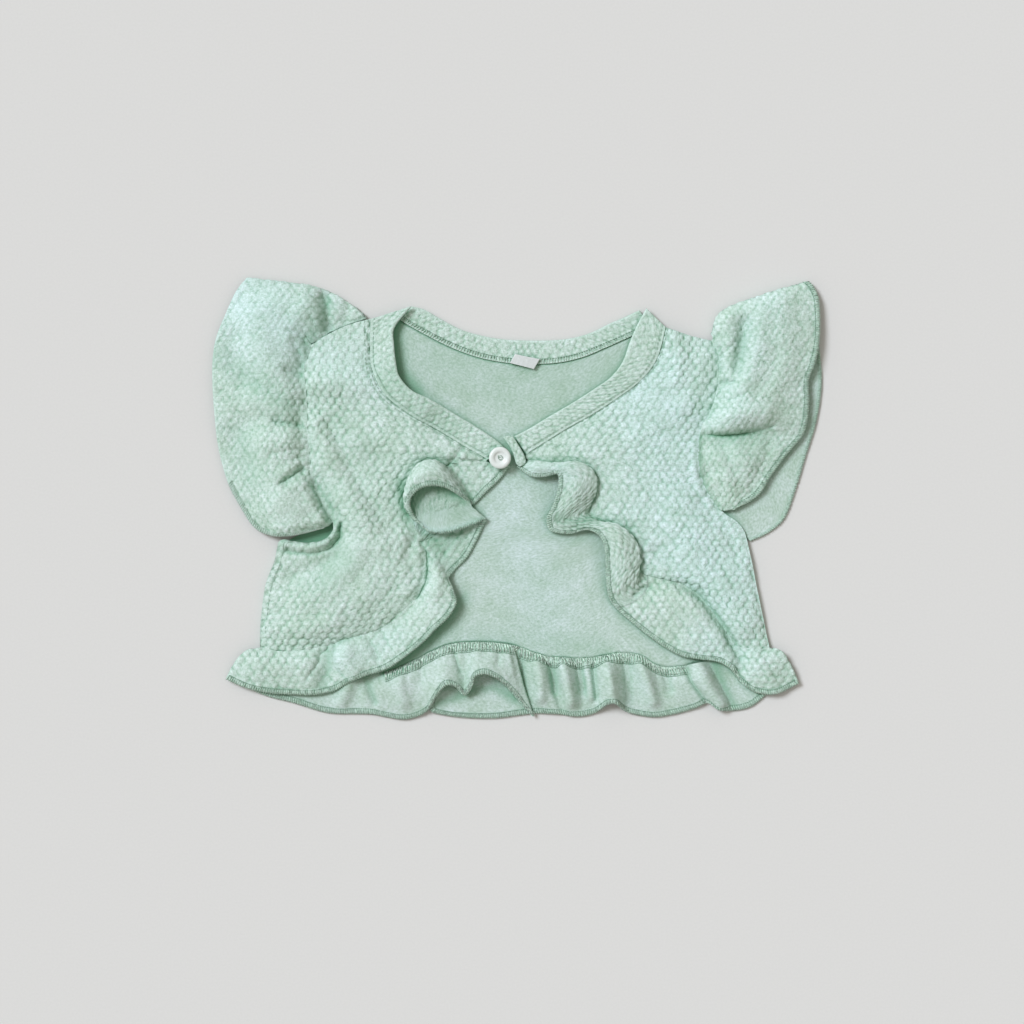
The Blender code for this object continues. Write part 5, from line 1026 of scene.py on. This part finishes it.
def tube_mesh(name, groups, radii):
    """One mesh of thread: each group holds lines of equally many points, as (lines, points, 3)."""
    verts, faces, slots, base = [], [], [], 0
    for slot, (lines, radius) in enumerate(zip(groups, radii)):
        lines = np.asarray(lines, dtype=float)
        count, length, _ = lines.shape
        run = np.gradient(lines, axis=1)
        run /= np.maximum(np.linalg.norm(run, axis=2), 1e-9)[..., None]
        guide = np.where(np.abs(run[..., 2:]) > 0.9, [1.0, 0, 0], [0, 0, 1.0])
        side = np.cross(run, guide)
        side /= np.maximum(np.linalg.norm(side, axis=2), 1e-9)[..., None]
        up = np.cross(side, run)
        angles = np.arange(THREAD_SIDES) * 2 * np.pi / THREAD_SIDES
        taper = np.ones(length)
        taper[0] = taper[-1] = 0.55
        ring = (side[:, :, None] * np.cos(angles)[None, None, :, None]
                + up[:, :, None] * np.sin(angles)[None, None, :, None])
        points = lines[:, :, None] + radius * taper[None, :, None, None] * ring
        verts.append(points.reshape(-1, 3))
        index = base + np.arange(count * length * THREAD_SIDES).reshape(count, length, THREAD_SIDES)
        a, b = index[:, :-1], index[:, 1:]
        quads = np.stack([a, np.roll(a, -1, axis=2), np.roll(b, -1, axis=2), b], axis=-1).reshape(-1, 4)
        faces.extend(quads.tolist())
        faces.extend(index[:, 0, ::-1].tolist())
        faces.extend(index[:, -1].tolist())
        slots.extend([slot] * (len(faces) - len(slots)))
        base += count * length * THREAD_SIDES
    mesh = bpy.data.meshes.new(name)
    points = np.concatenate(verts)
    points[:, 2] = np.maximum(points[:, 2], 0.05)
    mesh.from_pydata(((points - CENTRE) * MM).tolist(), [], faces)
    mesh.polygons.foreach_set("material_index", np.array(slots, dtype=np.int32))
    mesh.shade_smooth()
    mesh.update()
    return mesh


def even_places(points, pitch):
    """Fractional indices of places one pitch apart along a polyline."""
    steps = np.linalg.norm(np.diff(points, axis=0), axis=1)
    total = np.concatenate([[0.0], np.cumsum(steps)])
    count = max(2, int(total[-1] / pitch))
    return np.interp(np.linspace(0, total[-1], count + 1), total, np.arange(len(points)))


def read(values, place):
    """Rows of an array at fractional indices."""
    low = np.clip(np.floor(place).astype(int), 0, len(values) - 2)
    share = np.clip(place - low, 0, 1).reshape((-1,) + (1,) * (values.ndim - 1))
    return values[low] * (1 - share) + values[low + 1] * share


def meet(grid, edge, reach=3.0):
    """Bring a strip's seam to the height of the edge that it is sewn to."""
    apart = np.linalg.norm(grid[:, None, 0, :2] - edge[None, :, :2], axis=2)
    near = apart.min(axis=1) < 1.0
    rise = np.where(near, edge[apart.argmin(axis=1), 2] - grid[:, 0, 2], 0.0)
    wide, _ = lengths(grid)
    grid[..., 2] = np.maximum(grid[..., 2] + rise[:, None] * bell(wide, reach), TABLE_LAYER)


def edge_rows(cloth, edge, rows=slice(None)):
    """The cloth's middle points and normals as rows that start at its first or last edge and run inwards."""
    order = slice(None, None, -1 if edge == "last" else 1)
    return cloth.grid[rows, order], cloth.normal[rows, order]


def at_depth(grid, normal, depth, lift):
    """Points a depth in from the edge on each row, lifted off the middle surface."""
    steps = np.linalg.norm(np.diff(grid[:, :14], axis=1), axis=2)
    total = np.concatenate([np.zeros((len(grid), 1)), np.cumsum(steps, axis=1)], axis=1)
    place = np.array([np.interp(depth, row, np.arange(len(row))) for row in total])
    low = np.clip(np.floor(place).astype(int), 0, grid.shape[1] - 2)
    share = (place - low)[:, None]
    row = np.arange(len(grid))
    point = grid[row, low] * (1 - share) + grid[row, low + 1] * share
    return point + lift * (normal[row, low] * (1 - share) + normal[row, low + 1] * share)


def overlock(cloth, edge, rows=slice(None), depth=2.6, pitch=1.25, wrap=True, lean=0.45):
    """Overlock stitches along an edge: (stitches, points, 3) and the needle line's (dashes, points, 3)."""
    grid, normal = edge_rows(cloth, edge, rows)
    lift = cloth.wall / 2 + THREAD_LIFT
    rim = at_depth(grid, normal, 0.0, 0.0)
    out = rim - at_depth(grid, normal, 0.6, 0.0)
    out /= np.maximum(np.linalg.norm(out, axis=1), 1e-9)[:, None]
    place = even_places(rim, pitch)[:-1]
    pace = pitch / np.linalg.norm(np.diff(rim, axis=0), axis=1).mean()
    levels = [at_depth(grid, normal, depth, lift), at_depth(grid, normal, depth * 0.5, lift + THREAD_LIFT),
              at_depth(grid, normal, 0.2, lift), rim + 0.28 * out]
    if wrap:
        levels += [at_depth(grid, normal, 0.2, -lift), at_depth(grid, normal, depth * 0.6, -lift)]
    shifts = np.linspace(0, 1, len(levels))
    uneven = np.random.RandomState(cloth.seed).uniform(0.55, 1.45, (2, len(place)))
    stitches = np.stack([read(level, place + lean * pace * (shift * uneven[0] + 0.4 * uneven[1]))
                         for level, shift in zip(levels, shifts)], axis=1)
    needle = at_depth(grid, normal, depth, lift + STITCH_OFF)
    dashes = np.stack([read(needle, place + 0.76 * pace * (k - 1)) for k in (0, 0.5, 1)], axis=1)
    return stitches, dashes


def stitch_line(points):
    """Dashes of topstitching along a line of points."""
    place = even_places(points, STITCH_PITCH)[:-1]
    step = np.linalg.norm(np.diff(points, axis=0), axis=1).mean()
    parts = [read(points, place + STITCH_PITCH * STITCH_SHARE * k / 3 / step) + (0, 0, STITCH_LIFT * bow)
             for k, bow in ((0, -0.6), (1, 1), (2, 1), (3, -0.6))]
    return np.stack(parts, axis=1)


# ------------------------------------------------------------------------------------------- materials


def node_material(name):
    material = bpy.data.materials.new(name)
    material.use_nodes = True
    tree = material.node_tree
    return material, tree, tree.nodes["Principled BSDF"]


def wired(tree, node, inputs, output):
    """Give a node its inputs, where a socket is linked and a value is set, and return one of its outputs."""
    for name, value in inputs.items():
        if isinstance(value, bpy.types.NodeSocket):
            tree.links.new(value, node.inputs[name])
        else:
            node.inputs[name].default_value = value
    return node.outputs[output]

def mixed(tree, factor, a, b, blend="MIX"):
    node = tree.nodes.new("ShaderNodeMix")
    node.data_type = "RGBA"
    node.blend_type = blend
    return wired(tree, node, {"Factor": factor, "A": a, "B": b}, "Result")


def ranged(tree, value, low, high, to_low=0.0, to_high=1.0):
    """A value from low to high, moved to another range and kept inside it."""
    node = tree.nodes.new("ShaderNodeMapRange")
    ends = {"From Min": low, "From Max": high, "To Min": to_low, "To Max": to_high}
    return wired(tree, node, {"Value": value, **ends}, "Result")


def spots(tree, place, scale, detail, roughness=0.5):
    node = tree.nodes.new("ShaderNodeTexNoise")
    sizes = {"Vector": place, "Scale": scale, "Detail": detail, "Roughness": roughness}
    return wired(tree, node, sizes, "Fac")


def attribute(tree, name, output="Fac"):
    node = tree.nodes.new("ShaderNodeAttribute")
    node.attribute_name = name
    return node.outputs[output]


# The least and the most that patches of the cloth and its yarn change the mint, for a share of 1.
PATCHES = ((-0.11, -0.07, -0.12), (0.08, 0.06, 0.09))
YARNS = ((-1.0, -0.74, -1.0), (1.0, 0.74, 1.05))
# painted shade: how much darker the cloth is painted under overlock thread
THREAD_SHADE_TINT = (0.93, 0.96, 0.94, 1)
# painted light: how much paler and bluer marked places are painted
PAINTED_LIGHT_TINT = (1.05, 1.08, 1.15, 1)
# painted shade: the deep green that hollows and marked places are painted towards
PAINTED_SHADE_MINT = (0.18, 0.41, 0.27, 1)


def tinted(tree, place, colour, scale, detail, changes, share):
    """A colour, multiplied by a tint that changes in soft spots."""
    low, high = (tuple(1 + share * part for part in change) + (1,) for change in changes)
    where = ranged(tree, spots(tree, place, scale, detail, 0.7), 0.3, 0.7)
    return mixed(tree, 1, colour, mixed(tree, where, low, high), "MULTIPLY")


def knit_material(name, light, shaded_gap, grain, relief, spread, turn=0.0, patch=1.0):
    """Matte knit: painted shade between bubbles, under overlock thread and in hollows, and painted light
    where marked; uneven by a spread, with yarn grain of a turned stretch.
    """
    material, tree, shader = node_material(name)
    place = attribute(tree, "cloth_mm", "Vector")
    turned = {"Vector": place, "Rotation": (0.0, 0.0, turn), "Scale": (*grain, 1.0)}
    stretch = wired(tree, tree.nodes.new("ShaderNodeMapping"), turned, "Vector")
    # painted shade: the gap colour between bubbles, the bubble colour on their tops
    colour = mixed(tree, attribute(tree, "painted_bubble_shade"), (*shaded_gap, 1), (*light, 1))
    colour = tinted(tree, place, colour, 0.06, 3, PATCHES, patch)
    colour = tinted(tree, stretch, colour, 0.85, 1.5, YARNS, spread)
    colour = mixed(tree, attribute(tree, "band"), colour, THREAD_SHADE_TINT, "MULTIPLY")
    colour = mixed(tree, attribute(tree, "painted_light"), colour, PAINTED_LIGHT_TINT, "MULTIPLY")
    # Painted shade: the less light the closeness of other cloth would leave, the more the colour is painted
    # towards a deep green.
    near = tree.nodes.new("ShaderNodeAmbientOcclusion")
    near.samples = 6
    near.inputs["Distance"].default_value = PAINTED_SHADE_REACH * MM
    light_left = tree.nodes.new("ShaderNodeMath")
    light_left.operation = "SUBTRACT"
    light_left.use_clamp = True
    in_light = ranged(tree, near.outputs["AO"], 0.22, 0.90)
    share = wired(tree, light_left, {0: in_light, 1: attribute(tree, "painted_shade")}, "Value")
    yarn = {"Strength": 0.8, "Distance": relief * MM, "Height": spots(tree, stretch, 1.4, 4)}
    wired(tree, shader, {"Base Color": mixed(tree, share, PAINTED_SHADE_MINT, colour),
                         "Normal": wired(tree, tree.nodes.new("ShaderNodeBump"), yarn, "Normal"),
                         "Roughness": 0.92, "Specular IOR Level": 0.25, "Sheen Weight": 0.12,
                         "Sheen Roughness": 0.6}, "BSDF")
    return material


def plain_material(name, colour, roughness, specular=0.5, coat=0.0, spread=0.05):
    """A plain finish, its tone uneven by a spread."""
    material, tree, shader = node_material(name)
    place = tree.nodes.new("ShaderNodeTexCoord").outputs["Object"]
    shade = ranged(tree, spots(tree, place, 900, 2), 0.3, 0.7, 1 - spread, 1 + spread)
    wired(tree, shader, {"Base Color": mixed(tree, 1, (*colour, 1), shade, "MULTIPLY"),
                         "Roughness": roughness, "Specular IOR Level": specular, "Coat Weight": coat}, "BSDF")
    return material


OUTER = knit_material("bubble knit", (0.690, 0.842, 0.800), (0.41, 0.60, 0.49), (1.0, 1.0), 0.6, 0.21)
INNER = knit_material("plain knit", (0.580, 0.720, 0.680), (0.39, 0.54, 0.44), (0.8, 1.1), 0.35, 0.19,
                      turn=0.6, patch=1.4)
THREAD = plain_material("overlock thread", (0.53, 0.68, 0.60), 0.8, 0.3, 0.0, 0.45)
PALE_THREAD = plain_material("pale overlock thread", (0.70, 0.84, 0.79), 0.8, 0.3, 0.0, 0.2)
SEWING = plain_material("sewing thread", (0.40, 0.55, 0.46), 0.8, 0.2, 0.0, 0.3)
NEEDLE = plain_material("needle thread", (0.24, 0.37, 0.29), 0.8, 0.2, 0.0, 0.3)
RIBBON = plain_material("label ribbon", (0.70, 0.75, 0.76), 0.5, 0.4)
SHELL = plain_material("white button", (0.80, 0.86, 0.85), 0.30, 0.5, 0.2)

# -------------------------------------------------------------------------------------------- garment

# Each cut piece's width, length and area before it was sewn, in millimetres, and how it is held now.
Cut = namedtuple("Cut", "width length area held rests_on")
cloths = {}


def edge_flatness(cloth, margin):
    """Fade a cloth's bubbles out towards its seams and edges, where it is pulled and sewn."""
    cloth.flat = cloth.flat * smooth(0.1, margin, cloth.wide) * smooth(0.1, margin, cloth.edge)


def seam_dip(grid, depth, reach, first=1.0, last=1.0):
    """Draw a cloth's edges down, as a seam does, by a share of depth for each row."""
    wide, _ = lengths(grid)
    first, last = (np.broadcast_to(share, len(grid))[:, None] for share in (first, last))
    grid[..., 2] -= depth * (first * bell(wide, reach) + last * bell(wide[:, -1:] - wide, reach))
    grid[..., 2] = np.maximum(grid[..., 2], TABLE_LAYER)


def soften(grid, height, scale, seed):
    """A little unevenness in a sheet that lies loose."""
    free = np.clip((grid[..., 2] - WALL) / FOLD_RISE, 0, 1)
    grid[..., 2] += free * height * (noise(grid[..., 0], grid[..., 1], scale, seed)
                                     + 0.6 * noise(grid[..., 0], grid[..., 1], scale * 0.45, seed + 1))


def dress(cloth, slot="knit_outer", both=False, materials=None):
    """Make a cloth's piece."""
    cloths[cloth.name] = cloth
    cloth.finish_surface()
    mesh = shell_mesh(cloth.name, cloth, both)
    piece = add_piece(cloth.name + "_cloth", mesh, materials or (OUTER, INNER), slot, cloth.name)


def add_overlock(name, radius, *args, **options):
    threads = (PALE_THREAD, THREAD) if name == "sleeve_left_overlock" else (THREAD, NEEDLE)
    add_piece(name, tube_mesh(name, overlock(*args, **options), (radius, NEEDLE_RADIUS)), threads, "thread")


def add_stitches(name, *lines):
    groups = [stitch_line(points) for points in lines]
    add_piece(name, tube_mesh(name, groups, [STITCH_RADIUS] * len(groups)), (SEWING,) * len(groups), "thread")


back = back_grid(1.5)
cloth = Cloth("back_panel", back, -1, 3)
dress(cloth, "knit_inner")

left, left_places = panel_grid(FRONT_LEFT, 76, FRONT_LEFT_FOLDS)
right, right_places = panel_grid(FRONT_RIGHT, 76, FRONT_RIGHT_FOLDS)
path = Path(moved_out(back[0], back[1]))
band_back = strip_grid(BAND_BACK, 9.5, path, step=0.6)
band_left = strip_grid(BAND_LEFT, 11.5, neck_path(left, left_places, LEFT_NECK_ROWS), step=0.6)
band_right = strip_grid(BAND_RIGHT, 13, neck_path(right, right_places, RIGHT_NECK_ROWS), step=0.6)
ruffle_left = strip_grid(RUFFLE_LEFT, 26, front_path(left, left_places, LEFT_NECK_ROWS))
ruffle_right = strip_grid(RUFFLE_RIGHT, 26, front_path(right, right_places, RIGHT_NECK_ROWS), fine=1.6)
ruffle_back = strip_grid(RUFFLE_BACK, 30, Path(moved_out(back[-1], back[-2])))
path = sleeve_path(left, left_places, LEFT_ARMHOLE_ROWS, SLEEVE_LEFT_SHOULDER, SLEEVE_LEFT_BACK, back)
sleeve_left = strip_grid(SLEEVE_LEFT, 52, path, SLEEVE_LEFT_FOLDS)
path = sleeve_path(right, right_places, RIGHT_ARMHOLE_ROWS, SLEEVE_RIGHT_SHOULDER, SLEEVE_RIGHT_BACK,
                   back[:, ::-1])
sleeve_right = strip_grid(SLEEVE_RIGHT, 52, path, SLEEVE_RIGHT_FOLDS)

add_gathers(sleeve_left, 5.5, 1.1, 11, 71)
add_gathers(sleeve_right, 5.5, 1.0, 11, 73)
add_gathers(ruffle_left, 6.0, 0.6, 9, 77)
add_gathers(ruffle_right, 6.0, 0.6, 9, 79)
add_gathers(ruffle_back, 5.0, 1.1, 13, 83)
add_creases(sleeve_left, SLEEVE_LEFT_CREASES)
add_creases(sleeve_right, SLEEVE_RIGHT_CREASES)
add_creases(ruffle_left, RUFFLE_LEFT_CREASES)
add_creases(ruffle_right, RUFFLE_RIGHT_CREASES)
add_creases(ruffle_back, RUFFLE_BACK_CREASES, flat_too=True)
for grid in (left, right, band_left, band_right, ruffle_left, ruffle_right):
    add_creases(grid, FRONT_CREASES)
for grid in (left, right, ruffle_left, ruffle_right, sleeve_left, sleeve_right):
    soften(grid, 0.42, 15, 90)
plain_seam = np.ones(len(left))
plain_seam[left_places[LEFT_NECK_ROWS[1]]:] = 0.0      # the seam doesn't show from the flute to the lap
seam_dip(left, 0.45, 1.2, 0.2, plain_seam)
seam_dip(right, 0.45, 1.2, 0.4)
sleeve_foot = right_places[RIGHT_ARMHOLE_ROWS[1]]
wide, _ = lengths(right)
right[sleeve_foot:, :, 2] -= 0.3 * bell(wide[sleeve_foot:], 1.6)
plain_seam = np.ones(len(ruffle_left))
plain_seam[:section_rows(RUFFLE_LEFT)[25]] = 0.0
seam_dip(ruffle_left, 0.45, 1.2, plain_seam, 0.0)
for grid in (band_left, band_right):
    seam_dip(grid, 0.45, 1.2, last=0.0)
lobes = np.ones(len(ruffle_right))
lobes[section_rows(RUFFLE_RIGHT)[18]:] = 0.1
seam_dip(ruffle_right, 0.45, 1.2, lobes, 0.0)
seam_dip(sleeve_left, 0.2, 1.0, last=0.0)
seam_dip(sleeve_right, 0.35, 1.2, last=0.0)

meet(sleeve_left, left[:, 0])
meet(sleeve_right, right[:, 0])
meet(band_left, left[:, -1])
meet(band_right, right[:, -1])
meet(ruffle_left, np.concatenate([left[:, -1], left[-1]]))
meet(ruffle_right, np.concatenate([right[:, -1], right[-1]]))

for name, grid, seed in (("front_left", left, 11), ("front_right", right, 17)):
    cloth = Cloth(name, grid, 1, seed)
    cloth.cell_u, cloth.cell_v = grid[..., 0], grid[..., 1]
    edge_flatness(cloth, 0.35)
    cloth.sewn[:, -1] = cloth.sewn[-1] = True
    cloth.sink = GROOVE_DEPTH * bell(cloth.edge - 1.6, GROOVE_WIDTH)
    dress(cloth)

for name, grid, seed in (("neckband_left", band_left, 23), ("neckband_right", band_right, 29),
                         ("neckband_back", band_back, 31)):
    cloth = Cloth(name, grid, 1, seed, BAND_WALL, False)
    edge_flatness(cloth, 1.8)
    cloth.sink = GROOVE_DEPTH * bell(cloth.wide - 1.7, GROOVE_WIDTH)
    cloth.small = 1.15
    ends = np.minimum(cloth.long, cloth.long[-1:] - cloth.long)
    cloth.round = rounded(np.minimum(cloth.edge, ends + 0.4), 1.6)
    dress(cloth, "neckband", True)

# Rows of each strip whose bubbles follow the strip, because it turns over there, and rows with overlock.
TURNED = {"ruffle_left": (4, 16), "ruffle_right": (0, 18), "ruffle_back": (0, 0), "sleeve_left": (17, 40),
          "sleeve_right": (15, 40)}
SEWN = {"sleeve_left": (0, 6)}
# How the cells of a turned part are shrunk along and across the strip, and a strip's wobble and closeness.
CELL_SHARES = {"ruffle_right": (0.95, 1.6)}
WOBBLES = {"ruffle_right": 0.15, "ruffle_left": 0.6}
CLOSER = {"sleeve_right": 1.2, "sleeve_left": 1.16}
for name, sections, grid, up, seed in (
        ("ruffle_left", RUFFLE_LEFT, ruffle_left, 1, 11), ("ruffle_right", RUFFLE_RIGHT, ruffle_right, 1, 17),
        ("ruffle_back", RUFFLE_BACK, ruffle_back, -1, 43), ("sleeve_left", SLEEVE_LEFT, sleeve_left, 1, 11),
        ("sleeve_right", SLEEVE_RIGHT, sleeve_right, 1, 17)):
    cloth = Cloth(name, grid, up, seed, rows_across=False)
    places = list(section_rows(sections)) + [len(grid)]
    turned = np.zeros(cloth.wide.shape, dtype=bool)
    first, last = TURNED[name]
    turned[places[first]:places[min(last, len(places) - 1)]] = True
    long_share, wide_share = CELL_SHARES.get(name, (1.15, 1.15))
    cloth.cell_u = np.where(turned, cloth.long * long_share, grid[..., 0])
    cloth.cell_v = np.where(turned, cloth.wide * wide_share, grid[..., 1])
    cloth.wobble = WOBBLES.get(name, 1.0)
    cloth.small = CLOSER.get(name, 1.0)
    first, last = SEWN.get(name, (0, len(places) - 1))
    sewn = np.zeros((len(grid), 1))
    sewn[places[first]:places[last]] = 1
    near_edge = 1 - smooth(1.8, 3.0, cloth.edge)
    cloth.flat = smooth(0.1, 1.0, cloth.wide) * (1 - 0.4 * sewn * near_edge) * smooth(0, 1, cloth.edge)
    if name == "ruffle_right":
        cloth.flat = cloth.flat * np.where(turned, 0.95, 1.0)
    cloth.round = rounded(cloth.edge, 0.7)
    # painted shade under the overlock thread
    cloth.band = sewn * (1 - smooth(2.0, 2.6, cloth.edge))
    dress(cloth)
    add_overlock(name + "_overlock", 0.23, cloth, "last", slice(places[first], places[last]), pitch=1.15)

# The seam allowance of the back ruffle shows as a wide overlocked band, and so does the back neck band's.
places = section_rows(RUFFLE_BACK)
seen = slice(places[6], places[-6])
for name, lean, depth in (("back_hem_overlock", 0.5, 5.4), ("back_hem_overlock_2", -0.7, 4.4)):
    add_overlock(name, 0.30, cloths["ruffle_back"], "first", seen,
                 depth=depth, pitch=1.35, wrap=False, lean=lean)
add_overlock("back_neck_overlock", 0.24, cloths["neckband_back"], "first", depth=2.4, pitch=1.4, wrap=False)

lines = []
for name, edge, depths, last in (("front_left", "last", (1.6, 3.2), left_places[LEFT_NECK_ROWS[1]]),
                                 ("neckband_left", "first", (1.7,), None),
                                 ("front_right", "last", (1.6,), right_places[RIGHT_NECK_ROWS[1]]),
                                 ("neckband_right", "first", (1.9,), None)):
    cloth = cloths[name]
    grid, normal = edge_rows(cloth, edge)
    for depth in depths:
        lines.append(at_depth(grid, normal, depth, cloth.wall / 2 + STITCH_OFF)[:last])
grid, normal = edge_rows(cloths["front_left"], "first")
armhole, side = left_places[LEFT_ARMHOLE_ROWS[1]], left_places[15]
lines.append(at_depth(grid, normal, 4.4, WALL / 2 + STITCH_OFF)[armhole:side + 6])
lines.append(at_depth(grid, normal, 3.0, WALL / 2 + STITCH_OFF)[side:])
add_stitches("topstitching", *lines)

cloth = Cloth("button_loop", strip_grid(LOOP, 5, step=0.5), 1, 59, 1.6)
cloth.small = 1.6
cloth.round = rounded(np.minimum(cloth.wide, cloth.edge), 1.2)
dress(cloth, "neckband", True)
cloth = Cloth("label", strip_grid(LABEL, 5, step=0.5), 1, 61, 0.5)
cloth.flat = cloth.flat * 0
dress(cloth, "label", True, (RIBBON, RIBBON))


def button_mesh():
    """The button, turned from its profile with softer steps than the solid's."""
    radius, height = BUTTON_RADIUS, BUTTON_HEIGHT
    profile = [(0.0, 0.60), (0.30, 0.60), (0.42, 0.62), (0.50, 0.72), (0.56, 0.88), (0.66, 0.97), (0.78, 1.0),
               (0.88, 0.96), (0.95, 0.84), (0.99, 0.66), (1.0, 0.5), (0.98, 0.3), (0.92, 0.12), (0.84, 0.02),
               (0.74, 0.0), (0.0, 0.0)]
    around = 72
    verts, faces = [], []
    for share, level in profile[1:-1]:
        for k in range(around):
            angle = 2 * np.pi * k / around
            verts.append((share * radius * np.cos(angle), share * radius * np.sin(angle), level * height))
    rings = len(profile) - 2
    for ring in range(rings - 1):
        for k in range(around):
            a, b = ring * around + k, ring * around + (k + 1) % around
            faces.append((a, a + around, b + around, b))
    faces.append(tuple(range(around)))
    faces.append(tuple(reversed(range((rings - 1) * around, rings * around))))
    mesh = bpy.data.meshes.new("button")
    verts = np.array(verts) + (*BUTTON_PLACE, BUTTON_REST) - CENTRE
    mesh.from_pydata((verts * MM).tolist(), [], faces)
    mesh.shade_smooth()
    return mesh


add_piece("button_shell", button_mesh(), (SHELL,), "button", "button")
x, y = BUTTON_PLACE
top = BUTTON_REST + BUTTON_HEIGHT * 0.62
turn = np.linspace(0, 2.6 * np.pi, 26)
swirl = np.stack([x + (0.5 + 0.42 * turn / np.pi) * np.cos(turn + 0.6),
                  y + (0.4 + 0.36 * turn / np.pi) * np.sin(turn + 0.6),
                  top - 0.05 + 0.12 * np.cos(3 * turn)], axis=1)
loops = [swirl, swirl + (0.25, -0.3, 0)]
add_piece("button_thread", tube_mesh("button_thread", [np.array(loops)], [0.14]), (NEEDLE,), "thread")

# ------------------------------------------------------------------------------------ floor, light, view

bpy.ops.mesh.primitive_plane_add(size=8, location=(0, 0, -0.0003))
floor = bpy.context.active_object
floor.name = "floor"
floor.data.materials.append(plain_material("pale floor", (0.75, 0.75, 0.75), 0.9, 0.1, spread=0.012))

world = bpy.data.worlds.new("soft daylight")
world.use_nodes = True
world.node_tree.nodes["Background"].inputs["Color"].default_value = (1.05, 0.99, 0.89, 1)
world.node_tree.nodes["Background"].inputs["Strength"].default_value = 0.43
bpy.context.scene.world = world

sun = bpy.data.lights.new("window light", "SUN")
sun.energy = 2.22
sun.angle = 0.40
sun.color = (0.95, 1.0, 1.06)
lamp = bpy.data.objects.new("window light", sun)
lamp.rotation_euler = Vector((0.62, -0.42, -0.80)).to_track_quat("-Z", "Y").to_euler()
bpy.context.scene.collection.objects.link(lamp)
bpy.context.scene.view_settings.view_transform = "Standard"

VIEW_CENTRE = np.array([-2.75, -6.25, 3.0])       # what the photograph's middle pixel shows
VIEW_WIDTH = 512.0                                # how much the photograph shows across
lens = bpy.data.cameras.new("camera")
lens.lens = 85
camera = bpy.data.objects.new("camera", lens)
distance = VIEW_WIDTH * lens.lens / lens.sensor_width
camera.location = (Vector(VIEW_CENTRE - CENTRE) + Vector((0, 0, distance))) * MM
camera.rotation_euler = (0, 0, 0)
lens.clip_end = 20
bpy.context.scene.collection.objects.link(camera)
bpy.context.scene.camera = camera
